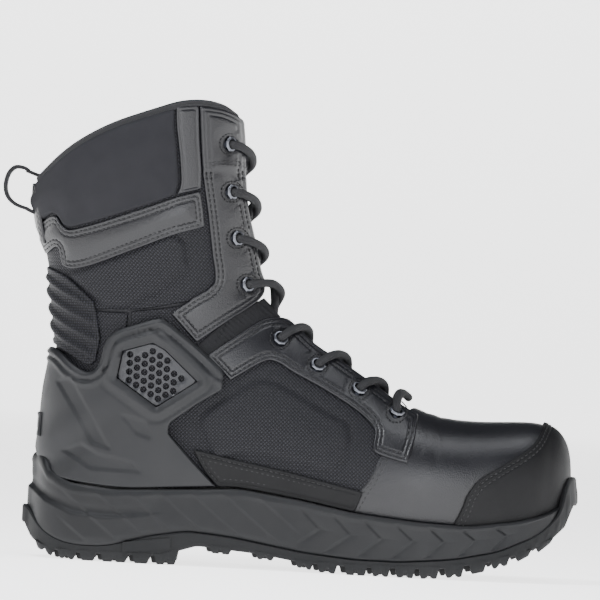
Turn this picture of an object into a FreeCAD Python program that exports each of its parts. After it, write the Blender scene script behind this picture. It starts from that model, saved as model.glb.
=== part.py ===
import FreeCAD, Part
import math
import os

# A steel toe work boot for the right foot, built the way it comes apart on a bench.
# Frame: millimetres, +Z up, +X to the toe, +Y to the inner (medial) side of the foot.
# The origin is under the middle of the boot, on the ground.

# ---- driving dimensions -------------------------------------------------------------
GROUND = 0.0               # tread plane
OVERLAY = (0.1, 1.6)       # inner and outer offset of the sewn-on leather panels
BASE = (-1.6, -0.1)        # offsets of the first layer of the upper
CORE = (-3.7, -1.8)        # offsets of toe cap, counter and foam
LINING = (-5.2, -3.9)      # offsets of the lining
MOULDED = (1.8, 4.0)       # offsets of the moulded guard over everything else
BINDING = (-5.2, 1.4)      # offsets of the rolled collar edge, over all layers
CENTRE_SHIFT = -1.55       # brings the middle of the boot's width to y = 0
SOLE_OVERHANG = 6.0        # outsole edge outside the upper's bottom edge
MIDSOLE_OVERHANG = 5.0     # midsole edge outside the upper's bottom edge
LACE_RADIUS = 2.4          # round braided lace
EYELET_BORE = 2.75         # hole of an eyelet
EYELET_BARREL = 3.3        # outside of an eyelet's barrel
EYELET_FLANGE = 4.6        # outside of an eyelet's flange
BORE_GAP = 0.3             # play between an eyelet's barrel and the leather
PATCH_ROWS = 13            # rows of the point grid under each curved panel

# ---- the last: stations along the boot ----------------------------------------------
# Each station is a chord seen from the side, from the bottom or back edge of the upper
# to its ridge, with the half width at the widest place, the sideways shift, the place
# of the widest point on the chord, how far the lower side turns in (90 closes it) and
# the roundness of the upper and lower sides.
# back/bottom x, z, ridge x, z, half width, shift, widest, turn-in, round above, below
STATIONS = [
    (163.4, 51.5, 163.4, 51.5, 0.0, 7.5, 0.30, 18.0, 2.4, 2.2),
    (161.2, 43.8, 161.9, 71.0, 14.5, 7.5, 0.30, 18.0, 2.4, 2.2),
    (156.5, 41.5, 158.2, 81.5, 25.5, 7.0, 0.30, 18.0, 2.4, 2.2),
    (149.0, 38.5, 151.5, 87.5, 34.5, 6.0, 0.30, 18.0, 2.4, 2.2),
    (136.0, 34.8, 140.5, 90.6, 42.0, 4.5, 0.30, 18.0, 2.4, 2.2),
    (107.0, 30.6, 108.5, 89.6, 49.5, 3.0, 0.30, 18.0, 2.3, 2.2),
    (78.5, 31.3, 86.5, 91.6, 51.8, 1.5, 0.29, 18.0, 2.2, 2.2),
    (42.5, 34.6, 63.5, 99.8, 48.8, -1.0, 0.28, 20.0, 2.0, 2.2),
    (10.0, 40.3, 40.5, 114.8, 44.0, -1.5, 0.28, 22.0, 1.9, 2.2),
    (-23.5, 44.8, 18.5, 129.3, 41.0, -1.0, 0.30, 22.0, 1.9, 2.2),
    (-58.5, 42.8, 2.5, 141.3, 39.5, -0.5, 0.35, 22.0, 2.0, 2.2),
    (-93.5, 40.8, -8.6, 150.3, 39.2, 0.0, 0.42, 24.0, 2.1, 2.2),
    (-123.5, 43.6, -12.6, 155.5, 38.9, 0.0, 0.48, 47.0, 2.2, 2.1),
    (-136.6, 57.0, -15.0, 161.5, 39.0, 0.0, 0.50, 90.0, 2.2, 2.1),
    (-136.2, 75.0, -17.0, 167.5, 39.2, 0.0, 0.50, 90.0, 2.2, 2.1),
    (-135.2, 95.0, -18.6, 173.5, 39.4, 0.0, 0.50, 90.0, 2.2, 2.1),
    (-132.6, 118.0, -20.6, 181.5, 39.8, 0.0, 0.50, 90.0, 2.2, 2.1),
    (-135.4, 143.4, -22.6, 192.5, 41.2, 0.0, 0.50, 90.0, 2.2, 2.1),
    (-139.6, 167.0, -25.0, 206.5, 43.2, 0.0, 0.50, 90.0, 2.2, 2.1),
    (-145.6, 191.0, -27.6, 222.5, 45.6, 0.0, 0.50, 90.0, 2.2, 2.1),
    (-148.6, 207.0, -30.0, 238.5, 47.2, 0.0, 0.50, 90.0, 2.2, 2.1),
    (-150.5, 225.0, -31.5, 256.0, 48.2, 0.0, 0.50, 90.0, 2.2, 2.1),
    (-152.0, 243.0, -33.5, 274.0, 48.8, 0.0, 0.50, 90.0, 2.2, 2.1),
    (-153.5, 262.0, -36.0, 293.0, 49.0, 0.0, 0.50, 90.0, 2.2, 2.1),
]
HEEL_CORNER = 13           # station where the back closes
LAST_STATION = len(STATIONS) - 1
THROAT = 6.55              # station where the tongue leaves the vamp
VAMP_REAR = 6.9            # station of the vamp's rear seam


def station(v):
    """The station at v, by a Catmull-Rom curve through the table's rows."""
    v = min(max(v, 0.0), LAST_STATION)
    i = min(int(v), LAST_STATION - 1)
    t = v - i
    p1, p2 = STATIONS[i], STATIONS[i + 1]
    p0 = STATIONS[i - 1] if i > 0 else p1
    p3 = STATIONS[i + 2] if i + 2 <= LAST_STATION else p2
    return [
        b + 0.5 * t * (c - a + t * (2 * a - 5 * b + 4 * c - d + t * (3 * (b - c) + d - a)))
        for a, b, c, d in zip(p0, p1, p2, p3)
    ]


def superellipse(angle, power):
    """The point of the unit superellipse in the direction of angle, in degrees."""
    c, s = math.cos(math.radians(angle)), math.sin(math.radians(angle))
    r = (abs(c) ** power + abs(s) ** power) ** (-1 / power)
    return r * c, r * s


def bare_skin(v, u):
    """u is 0 on the ridge, 1 on the widest line, 2 on the bottom or back edge; the
    sign of u picks the side, plus for the inner side."""
    bx, bz, rx, rz, half, shift, widest, turn, above, below = station(v)
    side, g = (1 if u >= 0 else -1), min(abs(u), 2.0)
    if g <= 1:
        along, out = superellipse(90 * g, above)
        sigma = widest + (1 - widest) * along
    else:
        out, along = superellipse(turn * (g - 1), below)
        sigma = widest * (1 - along / superellipse(turn, below)[1])
    y = CENTRE_SHIFT + shift + side * half * out
    return FreeCAD.Vector(bx + sigma * (rx - bx), y, bz + sigma * (rz - bz))


def skin(v, u, offset):
    """The boot's surface, moved outwards along its normal by offset."""
    v = min(max(v, 0.04), LAST_STATION)
    u = min(max(u, -2.0), 2.0)
    step = 0.02
    across = bare_skin(v, min(u + step, 2.0)) - bare_skin(v, max(u - step, -2.0))
    along = bare_skin(min(v + step, LAST_STATION), u) - bare_skin(v - step, u)
    normal = across.cross(along)
    normal.normalize()
    point = bare_skin(v, u)
    bx, bz, rx, rz, half, shift = station(v)[:6]
    middle = FreeCAD.Vector((bx + rx) / 2, CENTRE_SHIFT + shift, (bz + rz) / 2)
    if normal.dot(point - middle) < 0:
        normal = -normal
    return point + normal * offset


CHORDS = [(k / 8, station(k / 8)[:4]) for k in range(1, 8 * LAST_STATION + 1)]


def beside(chord, x, z):
    """Positive on one side of a chord and negative on the other."""
    bx, bz, rx, rz = chord
    return (rx - bx) * (z - bz) - (rz - bz) * (x - bx)


def along_chord(chord, x, z):
    """How far (x, z) lies along a chord, from 0 to 1."""
    bx, bz, rx, rz = chord
    return ((x - bx) * (rx - bx) + (z - bz) * (rz - bz)) / ((rx - bx) ** 2 + (rz - bz) ** 2)


def spot(x, z, side=1):
    """The (v, u) of the surface point that is seen at (x, z) from the side."""
    best = None
    for (v0, c0), (v1, c1) in zip(CHORDS, CHORDS[1:]):
        s0, s1 = beside(c0, x, z), beside(c1, x, z)
        if s0 * s1 > 0:
            continue
        v = v0 + (v1 - v0) * s0 / (s0 - s1 + 1e-12)
        sigma = along_chord(station(v)[:4], x, z)
        miss = max(0.0, -sigma, sigma - 1)
        if best is None or miss < best[0]:
            best = (miss, v, sigma)
    _, v, sigma = best
    widest, turn, above, below = station(v)[6:]
    if sigma >= widest:
        t = min((sigma - widest) / (1 - widest), 1.0)
        u = math.degrees(math.atan2((1 - t ** above) ** (1 / above), t)) / 90
    else:
        t = min(1 - sigma / widest, 1.0) * superellipse(turn, below)[1]
        u = 1 + math.degrees(math.atan2(t, max(1 - t ** below, 0) ** (1 / below))) / turn
    return v, side * min(u, 2.0)


def flat_back(z):
    """The x of the back edge at height z, upright below the heel corner."""
    if z <= STATIONS[HEEL_CORNER][1]:
        return STATIONS[HEEL_CORNER][0]
    v0, v1 = float(HEEL_CORNER), float(LAST_STATION)
    for _ in range(30):
        v = (v0 + v1) / 2
        v0, v1 = (v, v1) if station(v)[1] < z else (v0, v)
    return station(v0)[0]


def wrap_spot(x, z, side=1):
    """A place on a panel that goes round the heel: root of the distance from the
    back edge, with the side as its sign, and the height."""
    return side * math.sqrt(max(x - flat_back(z), 0.0)), z


def wrap_skin(q, z, offset):
    """The surface at a place given by wrap_spot."""
    v, u = spot(flat_back(z) + q * q + 0.001, z, 1 if q >= 0 else -1)
    return skin(v, u, offset)


# ---- panels -------------------------------------------------------------------------
def even(points, count, weight):
    """count points, evenly spaced along the smooth curve through points."""
    fine = []
    for i in range(len(points) - 1):
        p1, p2 = points[i], points[i + 1]
        p0 = points[i - 1] if i else p1
        p3 = points[i + 2] if i + 2 < len(points) else p2
        for k in range(12):
            t = k / 12
            fine.append(tuple(
                b + 0.5 * t * (c - a + t * (2 * a - 5 * b + 4 * c - d + t * (3 * (b - c) + d - a)))
                for a, b, c, d in zip(p0, p1, p2, p3)
            ))
    fine.append(tuple(points[-1]))
    reach = [0.0]
    for a, b in zip(fine, fine[1:]):
        reach.append(reach[-1] + math.hypot((b[0] - a[0]) * weight, b[1] - a[1]))
    out, j = [], 0
    for k in range(count):
        want = reach[-1] * k / (count - 1)
        while j < len(fine) - 2 and reach[j + 1] < want:
            j += 1
        t = (want - reach[j]) / max(reach[j + 1] - reach[j], 1e-9)
        out.append(tuple(a + (b - a) * t for a, b in zip(fine[j], fine[j + 1])))
    return out


def filled(bottom, right, top, left, rows, columns, weight):
    """A Coons patch of places inside four edges; bottom and top run the same way."""
    b, t = even(bottom, columns, weight), even(top, columns, weight)
    l, r = even(left, rows, weight), even(right, rows, weight)
    grid = []
    for i in range(rows):
        q = i / (rows - 1)
        row = []
        for j in range(columns):
            p = j / (columns - 1)
            row.append(tuple(
                (1 - q) * b[j][k] + q * t[j][k] + (1 - p) * l[i][k] + p * r[i][k]
                - (1 - p) * (1 - q) * b[0][k] - p * (1 - q) * b[-1][k]
                - (1 - p) * q * t[0][k] - p * q * t[-1][k]
                for k in (0, 1)
            ))
        grid.append(row)
    return grid


def handles(points):
    """Poles of the piecewise cubic through points with Catmull-Rom tangents."""
    last = len(points) - 1
    poles = [points[0]]
    for i, p in enumerate(points):
        tangent = (points[min(i + 1, last)] - points[max(i - 1, 0)]) * (1 / 6)
        if i > 0:
            poles.append(p - tangent)
        if i < last:
            poles.append(p + tangent)
    return poles + [points[-1]]


def smooth_face(grid):
    """A smooth surface through a grid of points, with tangents from their neighbours."""
    rows = [handles(row) for row in grid]
    columns = [handles(list(column)) for column in zip(*rows)]
    poles = [list(row) for row in zip(*columns)]
    surface = Part.BSplineSurface()
    knots = [[float(k) for k in range(n)] for n in (len(grid), len(grid[0]))]
    mults = [[4] + [2] * (len(k) - 2) + [4] for k in knots]
    surface.buildFromPolesMultsKnots(poles, mults[0], mults[1], knots[0], knots[1], False, False, 3, 3)
    return surface


def slab(outer, inner):
    """A closed solid between two grids of points, with ruled edges."""
    surfaces = [smooth_face(outer), smooth_face(inner)]
    faces = [s.toShape() for s in surfaces]
    for direction in ("uIso", "vIso"):
        for end in (0, 1):
            pair = []
            for s in surfaces:
                u0, u1, v0, v1 = s.bounds()
                at = (u0, u1)[end] if direction == "uIso" else (v0, v1)[end]
                pair.append(getattr(s, direction)(at).toShape())
            if min(e.Length for e in pair) > 0.05:
                faces.append(Part.makeRuledSurface(*pair))
    joined = Part.makeCompound(faces)
    joined.sewShape(1e-3)
    solid = Part.makeSolid(joined.Shells[0])
    if solid.Volume < 0:
        solid.reverse()
    return solid


def panel(edges, offsets, place=skin, weight=20.0, rows=PATCH_ROWS, columns=2 * PATCH_ROWS):
    """A curved panel: four edges of places, between two offsets from the surface."""
    grid = filled(*edges, rows, columns, weight)
    outer = [[place(a, b, offsets[1]) for a, b in row] for row in grid]
    inner = [[place(a, b, offsets[0]) for a, b in row] for row in grid]
    return slab(outer, inner)


def spots(points, side):
    """Places of a list of points seen from the side."""
    return [spot(x, z, side) for x, z in points]


def side_panel(bottom, right, top, left, side, offsets, **more):
    """A panel on one side of the boot, its edges as seen from the side."""
    return panel([spots(e, side) for e in (bottom, right, top, left)], offsets, **more)


def wrap_panel(bottom, top, offsets, front=(), **more):
    """A panel round the heel, the same on both sides. Its edges run from the back
    centre forward; front holds the points between the two forward ends."""
    def round_the_back(points):
        lateral = [wrap_spot(x, z, -1) for x, z in reversed(points[1:])]
        return lateral + [(0.0, points[0][1])] + [wrap_spot(x, z, 1) for x, z in points[1:]]
    ends = [bottom[-1], *front, top[-1]]
    edges = [round_the_back(bottom), [wrap_spot(x, z, 1) for x, z in ends],
             round_the_back(top), [wrap_spot(x, z, -1) for x, z in ends]]
    return panel(edges, offsets, place=wrap_skin, weight=8.0, **more)


def band(v0, v1, u0, u1, offsets, **more):
    """A panel between two stations and two lines along the boot."""
    edges = [[(v0, u0), (v1, u0)], [(v1, u0), (v1, u1)], [(v0, u1), (v1, u1)], [(v0, u0), (v0, u1)]]
    return panel(edges, offsets, **more)


# ---- outlines of the upper's panels, seen from the side ------------------------------
NOSE = 0.2                 # station where panels start at the toe's tip
EYELETS = [(-40.0, 239.5), (-37.5, 212.5), (-33.0, 186.5), (-26.0, 160.5),
           (-5.5, 130.5), (16.5, 116.5), (40.5, 104.0), (62.5, 92.0)]
COLLAR_LINE = [(-147.0, 215.5), (-134.0, 229.0), (-121.0, 239.0), (-103.5, 248.5), (-80.0, 257.5),
               (-66.0, 262.0), (-54.0, 263.0), (-44.0, 261.0), (-36.5, 256.5)]
GUARD_BOTTOM = [(-136.6, 58.0), (-133.5, 50.5), (-123.0, 44.8), (-93.0, 42.0), (-62.0, 43.8), (-37.0, 45.6)]
GUARD_NOTCH = [(-37.2, 45.0), (-51.0, 59.0), (-62.5, 71.0), (-65.2, 74.0), (-65.6, 77.0), (-64.5, 80.5),
               (-50.0, 91.5), (-36.5, 100.0), (-30.0, 103.0), (-30.0, 45.0)]
GUARD_TOP = [(-132.5, 119.5), (-127.0, 116.5), (-119.5, 110.0), (-111.5, 106.5), (-106.0, 111.0),
             (-103.0, 123.0), (-98.0, 130.0), (-86.0, 135.0), (-75.5, 138.5), (-70.0, 137.5),
             (-52.0, 124.0), (-35.0, 109.5)]
WINDOW = [(-93.5, 119.5), (-77.0, 125.0), (-70.0, 121.5), (-50.5, 104.0), (-73.0, 88.5), (-96.0, 104.0)]
WINDOW_MIDDLE = (sum(x for x, z in WINDOW) / len(WINDOW), sum(z for x, z in WINDOW) / len(WINDOW))


def raised(points, dz):
    """The same outline, moved up."""
    return [(x, z + dz) for x, z in points]


def prism(points, y0, y1):
    """The side-view polygon, as a prism across the boot."""
    ring = [FreeCAD.Vector(x, y0, z) for x, z in points]
    face = Part.Face(Part.makePolygon(ring + ring[:1]))
    return face.extrude(FreeCAD.Vector(0, y1 - y0, 0))


# ---- upper ----------------------------------------------------------------------------
def vamp():
    shoulder = VAMP_REAR - 0.05
    rear = [(VAMP_REAR, -1.99), (shoulder, -0.6), (THROAT, 0.0), (shoulder, 0.6), (VAMP_REAR, 1.99)]
    edges = [[(NOSE, -1.99), rear[0]], rear, [(NOSE, 1.99), rear[-1]], [(NOSE, -1.99), (NOSE, 1.99)]]
    return panel(edges, BASE, columns=21, rows=25)


def toe_guard():
    line = spots([(98.0, 31.2), (102.5, 41.0), (105.0, 48.5), (111.5, 57.5), (122.0, 64.5), (139.5, 76.5),
                  (147.0, 88.5)], -1)
    rear = line + [(v, -u) for v, u in reversed(line)]
    edges = [[(NOSE, -1.99), rear[0]], rear, [(NOSE, 1.99), rear[-1]], [(NOSE, -1.99), (NOSE, 1.99)]]
    return panel(edges, OVERLAY, columns=17, rows=29)


def quarter(side):
    bottom = [(-90.0, 42.4), (-60.0, 43.3), (-23.5, 45.2), (10.0, 40.7), (43.0, 34.9)]
    front = [(43.0, 34.9), (51.0, 60.0), (58.0, 87.0)]
    top = [(-90.0, 142.0), (-70.0, 145.0), (-50.0, 149.0), (-36.0, 144.0), (-22.0, 134.0), (0.0, 120.5),
           (20.0, 107.5), (40.0, 96.0), (58.0, 87.0)]
    back = [(-90.0, 42.4), (-90.0, 92.0), (-90.0, 142.0)]
    return side_panel(bottom, front, top, back, side, BASE)


def heel_quarter():
    bottom = [(-136.6, 58.2), (-133.5, 50.7), (-123.0, 45.0), (-96.0, 42.6)]
    top = [(-135.3, 142.0), (-125.0, 141.0), (-108.0, 141.0), (-92.0, 141.0)]
    return wrap_panel(bottom, top, BASE, columns=31)


def shaft_shell():
    bottom = [(-135.5, 143.0), (-110.0, 142.4), (-85.0, 143.6), (-62.0, 148.4), (-46.0, 151.4)]
    top = raised(COLLAR_LINE[:6] + [(-57.5, 262.7)], -2.8)
    front = [(-40.5, 164.0), (-41.0, 186.0), (-45.2, 212.0), (-49.0, 240.0)]
    return wrap_panel(bottom, top, BASE, front=front, rows=17, columns=31)


def upper_eyestay(side):
    back = [(-67.5, 142.0), (-56.5, 150.5), (-44.5, 160.5), (-46.5, 178.5), (-50.0, 200.0), (-54.5, 225.5),
            (-58.0, 259.8)]
    front = [(-52.5, 126.5), (-36.0, 139.0), (-19.0, 152.0), (-16.4, 161.0), (-19.0, 169.0), (-23.0, 185.0),
             (-27.4, 201.0), (-29.6, 214.0), (-31.6, 237.5), (-33.5, 253.5)]
    bottom = [(-67.5, 142.0), (-60.0, 134.3), (-52.5, 126.5)]
    top = [(-58.0, 259.8), (-46.0, 258.8), (-38.0, 256.2), (-33.5, 253.5)]
    solid = side_panel(bottom, front, top, back, side, OVERLAY, rows=61, columns=17)
    return solid.cut(eyelet_bores(EYELETS[:4], side))


def lower_eyestay(side):
    top = [(-18.0, 139.5), (-10.5, 142.0), (-4.0, 142.0), (1.0, 139.5), (14.5, 128.0), (30.0, 118.8),
           (44.5, 109.8), (58.0, 101.0), (67.0, 95.0), (75.0, 91.0)]
    bottom = [(-32.0, 106.0), (-14.5, 117.0), (-6.5, 117.5), (3.5, 112.0), (20.0, 104.0), (37.0, 94.5),
              (47.5, 86.5), (51.0, 80.5), (50.5, 74.0), (52.0, 69.5), (61.0, 66.5), (70.0, 64.5)]
    back = [(-32.0, 106.0), (-40.0, 113.5), (-46.0, 119.0)]
    front = [(70.0, 64.5), (73.5, 77.0), (75.0, 91.0)]
    top = [(-46.0, 119.0), (-32.0, 129.5), *top]
    solid = side_panel(bottom, front, top, back, side, OVERLAY, rows=11, columns=33)
    return solid.cut(eyelet_bores(EYELETS[4:], side))


def side_rand(side):
    top = [(-51.0, 66.0), (-25.0, 61.0), (1.0, 56.5), (24.0, 51.7), (46.0, 47.0)]
    bottom = [(-36.0, 45.6), (-22.0, 45.6), (10.0, 41.2), (30.0, 37.6), (41.8, 35.6)]
    return side_panel(bottom, [(41.8, 35.6), (44.0, 41.0), (46.0, 47.0)], top,
                      [(-36.0, 45.6), (-44.0, 54.0), (-51.0, 66.0)], side, OVERLAY)


def collar_band():
    low = [(-139.8, 172.5), (-133.0, 176.5), (-129.0, 166.0), (-117.0, 166.0), (-90.5, 177.0),
           (-69.5, 186.0), (-51.5, 192.0)]
    high = [(-144.2, 189.0), (-136.0, 194.0), (-129.0, 187.0), (-118.5, 188.8), (-98.0, 196.0),
            (-81.0, 202.5), (-67.5, 208.0), (-55.0, 212.0)]
    return wrap_panel(low, high, OVERLAY, front=[(-53.0, 202.0)], columns=41)


def collar_strip(side):
    back = [(-67.8, 209.5), (-66.0, 216.5), (-67.5, 231.5), (-70.0, 247.5), (-71.5, 257.8)]
    front = [(-55.2, 213.0), (-55.8, 225.5), (-57.5, 240.0), (-59.2, 259.3)]
    return side_panel([back[0], front[0]], front, [back[-1], front[-1]], back, side, OVERLAY, columns=9)


def collar_pad():
    low = [(-144.4, 190.4), (-136.0, 195.4), (-129.0, 188.4), (-118.5, 190.2), (-98.0, 197.4),
           (-81.0, 203.9), (-68.5, 209.4)]
    high = raised(COLLAR_LINE[:5], -2.8) + [(-72.6, 256.6)]
    return wrap_panel(low, high, OVERLAY, front=[(-67.2, 217.0), (-68.8, 231.5), (-71.2, 247.5)], columns=41)


def collar_binding(side):
    """The rolled edge of the collar on one side, from the back centre to the front."""
    low = [wrap_spot(x, z, side) for x, z in raised(COLLAR_LINE, 0.4)]
    high = [wrap_spot(x, z, side) for x, z in raised(COLLAR_LINE, 2.3)]
    edges = [low, [low[-1], high[-1]], high, [low[0], high[0]]]
    return panel(edges, BINDING, place=wrap_skin, weight=8.0, rows=5, columns=41)


def ankle_guard(lower=0.0, offsets=MOULDED):
    """The moulded guard round the heel, with a notch at the front and a window on each side."""
    bottom = raised(GUARD_BOTTOM, 0.6 - lower)
    solid = wrap_panel(bottom, GUARD_TOP, offsets, rows=15, columns=61)
    return solid.cut(prism(GUARD_NOTCH, -80, 80)).cut(prism(WINDOW, -80, 80))


def vent_grille(side):
    inner = [(x + (WINDOW_MIDDLE[0] - x) * 0.02, z + (WINDOW_MIDDLE[1] - z) * 0.02) for x, z in WINDOW]
    a, b, c, d, e, f = inner
    return side_panel([f, e], [e, d], [a, b, c, d], [f, a], side, (0.1, 1.5), rows=11, columns=11)


def achilles_ribs():
    low = [(-132.6, 121.5), (-124.0, 116.5), (-113.0, 110.5), (-108.5, 113.0)]
    high = [(-138.5, 165.0), (-128.0, 160.0), (-118.0, 152.0), (-111.0, 146.0)]
    return wrap_panel(low, high, OVERLAY, front=[(-106.5, 126.0)])


def back_patch():
    bottom = [(-140.6, 178.5), (-139.5, 178.5)]
    top = [(-147.6, 212.0), (-146.6, 212.0)]
    return wrap_panel(bottom, top, (1.8, 3.0), columns=9)


def heel_badge():
    bottom = [(-135.9, 68.0), (-134.8, 68.0)]
    top = [(-135.7, 82.0), (-134.4, 82.0)]
    return wrap_panel(bottom, top, (4.2, 5.4), columns=9)


def woven_tag():
    low = [(-107.5, 200.5), (-87.0, 207.0)]
    high = [(-109.0, 206.0), (-88.5, 212.0)]
    return side_panel(low, [low[1], high[1]], high, [low[0], high[0]], -1, (1.8, 2.3), rows=4, columns=8)


# ---- eyelets and lace ------------------------------------------------------------------
def normal_at(v, u):
    """The surface's outward normal."""
    return (skin(v, u, 1.0) - skin(v, u, 0.0)).normalize()


def eyelet_bores(centres, side):
    """Round holes through a panel, square to its surface."""
    holes = []
    for x, z in centres:
        v, u = spot(x, z, side)
        holes.append(Part.makeCylinder(EYELET_BARREL + BORE_GAP, 8, skin(v, u, -3), normal_at(v, u)))
    return Part.makeCompound(holes)


def eyelet(x, z, side):
    """A rolled eyelet: a flange outside, a barrel through the leather, a washer inside."""
    v, u = spot(x, z, side)
    profile = [(EYELET_BORE, -1.1), (EYELET_FLANGE, -1.1), (EYELET_FLANGE, -0.3), (EYELET_BARREL, -0.3),
               (EYELET_BARREL, 2.1), (EYELET_FLANGE, 2.1), (EYELET_FLANGE, 2.5), (3.6, 3.1),
               (EYELET_BORE, 2.7)]
    ring = Part.makePolygon([FreeCAD.Vector(r, 0, h) for r, h in profile + profile[:1]])
    solid = Part.Face(ring).revolve(FreeCAD.Vector(0, 0, 0), FreeCAD.Vector(0, 0, 1), 360)
    turn = FreeCAD.Rotation(FreeCAD.Vector(0, 0, 1), normal_at(v, u))
    solid.Placement = FreeCAD.Placement(skin(v, u, 0.0), turn)
    return solid


def eyelets(side):
    return Part.makeCompound([eyelet(x, z, side) for x, z in EYELETS])


def rounded_tube(points, radius):
    """A tube of straight runs joined by tangent arcs, as large as the runs allow."""
    edges, start = [], points[0]
    for a, b, c in zip(points, points[1:], points[2:]):
        back, on = (a - b), (c - b)
        reach = 0.45 * min(back.Length, on.Length)
        back.normalize()
        on.normalize()
        bisector = (back + on).normalize()
        half = back.getAngle(on) / 2
        p, q = b + back * reach, b + on * reach
        middle = b + bisector * (reach / math.cos(half) - reach * math.tan(half))
        edges += [Part.LineSegment(start, p).toShape(), Part.Arc(p, middle, q).toShape()]
        start = q
    edges.append(Part.LineSegment(start, points[-1]).toShape())
    path = Part.Wire(edges)
    ring = Part.Face(Part.Wire(Part.makeCircle(radius, points[0], points[1] - points[0])))
    return path.makePipe(ring)


def crossing(start, end, side):
    """One outside run of the lace: out of an eyelet, over the edge of its facing, across
    the gap and down under the other facing. side is where it starts."""
    (va, ua), (vb, ub) = spot(*start, side), spot(*end, -side)
    step = vb - va
    over = side < 0
    return [
        skin(va, ua, -0.6),
        skin(va, ua, 6.0),
        skin(va + step * 0.12, ua * 0.75, 5.4),
        skin(va + step * 0.32, ua * 0.36, 5.2),
        skin(va + step * 0.5, 0.0, 1.6 if over else -4.2),
        skin(vb - step * 0.28, ub * 0.35, -4.9),
        skin(vb - step * 0.14, ub * 0.62, -5.1),
    ]


def lace():
    """The lace's outside runs, each a solid of its own, from the top eyelets downwards."""
    runs = []
    for start, end in zip(EYELETS, EYELETS[1:]):
        for side in (1, -1):
            runs.append(rounded_tube(crossing(start, end, side), LACE_RADIUS))
    return Part.makeCompound(runs)


# ---- tongue ------------------------------------------------------------------------------
def tongue_layer(offsets, half=0.6, low=6.95, high=20.9, rise=0.55):
    """One layer of the tongue: a band under the facings, wider at the top."""
    edges = [[(low, -half), (low, half)], [(low, half), (high + rise, half)],
             [(high + rise, -half), (high, 0.0), (high + rise, half)], [(low, -half), (high + rise, -half)]]
    return panel(edges, offsets, rows=31, columns=11)


def gusset(side):
    """The folded bellows between the tongue and the facing, at rest behind the tongue."""
    return band(7.2, 16.0, 0.64 * side, 0.8 * side, (-8.6, -7.2), rows=4, columns=21)


def lace_keeper():
    """The webbing loop on the tongue that the lace keeps straight."""
    return band(16.5, 16.9, -0.14, 0.14, (-7.0, -6.2), rows=5, columns=7)


# ---- pull loop ---------------------------------------------------------------------------
LOOP_WIDTH = 20.0
LOOP_THICK = 2.2
LOOP_OUTER = [(-155.2, 219.5), (-158.5, 221.8), (-162.5, 221.6), (-165.8, 217.5), (-167.35, 210.0),
              (-165.6, 203.2), (-160.5, 198.6), (-153.6, 195.6)]
LOOP_ROOTS = [[(-151.6, 219.3), (-151.6, 216.6), (-152.9, 217.0), (-152.9, 219.6)],
              [(-150.0, 194.2), (-150.0, 197.1), (-151.4, 197.7), (-151.4, 194.8)]]


def pull_loop_roots():
    """The two sewn ends of the pull loop, which stay with the boot."""
    half = LOOP_WIDTH / 2
    return Part.makeCompound([prism(points, -half, half) for points in LOOP_ROOTS])


def pull_loop():
    """A webbing loop with a finger gap, in front view as wide as the webbing."""
    outer = [FreeCAD.Vector(x, 0, z) for x, z in LOOP_OUTER]
    inner = []
    last = len(outer) - 1
    for i, p in enumerate(outer):
        along = outer[min(i + 1, last)] - outer[max(i - 1, 0)]
        inward = FreeCAD.Vector(-along.z, 0, along.x).normalize()
        inner.append(p + inward * LOOP_THICK * (1 if inward.x > -2 else -1))
    edges = []
    for points in (outer, inner[::-1]):
        curve = Part.BSplineCurve()
        curve.interpolate(points)
        edges.append(curve.toShape())
    edges.insert(1, Part.LineSegment(outer[-1], inner[-1]).toShape())
    edges.append(Part.LineSegment(inner[0], outer[0]).toShape())
    face = Part.Face(Part.Wire(edges))
    solid = face.extrude(FreeCAD.Vector(0, LOOP_WIDTH, 0))
    solid.translate(FreeCAD.Vector(0, -LOOP_WIDTH / 2, 0))
    return solid


# ---- inside of the upper --------------------------------------------------------------
def toe_cap():
    return band(NOSE, 4.75, -1.96, 1.96, CORE, rows=25, columns=15)


def toe_cap_edge():
    return band(4.78, 5.1, -1.9, 1.9, CORE, rows=25, columns=5)


def heel_counter():
    bottom = [(-136.6, 59.0), (-133.2, 52.0), (-122.0, 46.5), (-93.0, 43.5)]
    top = [(-133.0, 112.0), (-122.0, 109.0), (-108.0, 97.0), (-91.0, 70.0)]
    return wrap_panel(bottom, top, CORE, columns=31)


def ankle_foam():
    bottom = [(-132.6, 116.0), (-121.5, 113.0), (-106.0, 101.0), (-80.0, 100.0), (-50.0, 108.0)]
    top = [(-140.0, 186.0), (-115.0, 184.0), (-85.0, 192.0), (-58.0, 200.0)]
    return wrap_panel(bottom, top, CORE, columns=31)


def collar_foam():
    bottom = [(-140.6, 189.0), (-115.0, 187.0), (-85.0, 195.0), (-60.0, 202.5)]
    top = raised(COLLAR_LINE[:6], -4.6)
    return wrap_panel(bottom, top, CORE, columns=31)


def vamp_lining():
    return band(NOSE, VAMP_REAR, -1.96, 1.96, LINING, rows=25, columns=21)


def quarter_lining(side):
    bottom = [(-93.5, 43.4), (-60.0, 43.6), (-23.5, 45.5), (10.0, 41.0), (39.5, 36.2)]
    front = [(39.5, 36.2), (47.5, 60.0), (53.0, 84.0)]
    top = [(-93.5, 139.8), (-70.0, 142.0), (-52.0, 146.5), (-38.0, 140.0), (-22.0, 129.5), (0.0, 116.0),
           (20.0, 103.5), (40.0, 92.0), (53.0, 84.0)]
    back = [(-93.5, 43.4), (-93.5, 92.0), (-93.5, 139.8)]
    return side_panel(bottom, front, top, back, side, LINING)


def heel_lining():
    bottom = [(-136.6, 59.0), (-133.2, 52.0), (-122.0, 46.5), (-100.0, 43.5)]
    top = [(-134.8, 140.0), (-120.0, 139.0), (-106.0, 139.0), (-97.0, 139.0)]
    return wrap_panel(bottom, top, LINING, columns=31)


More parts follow.
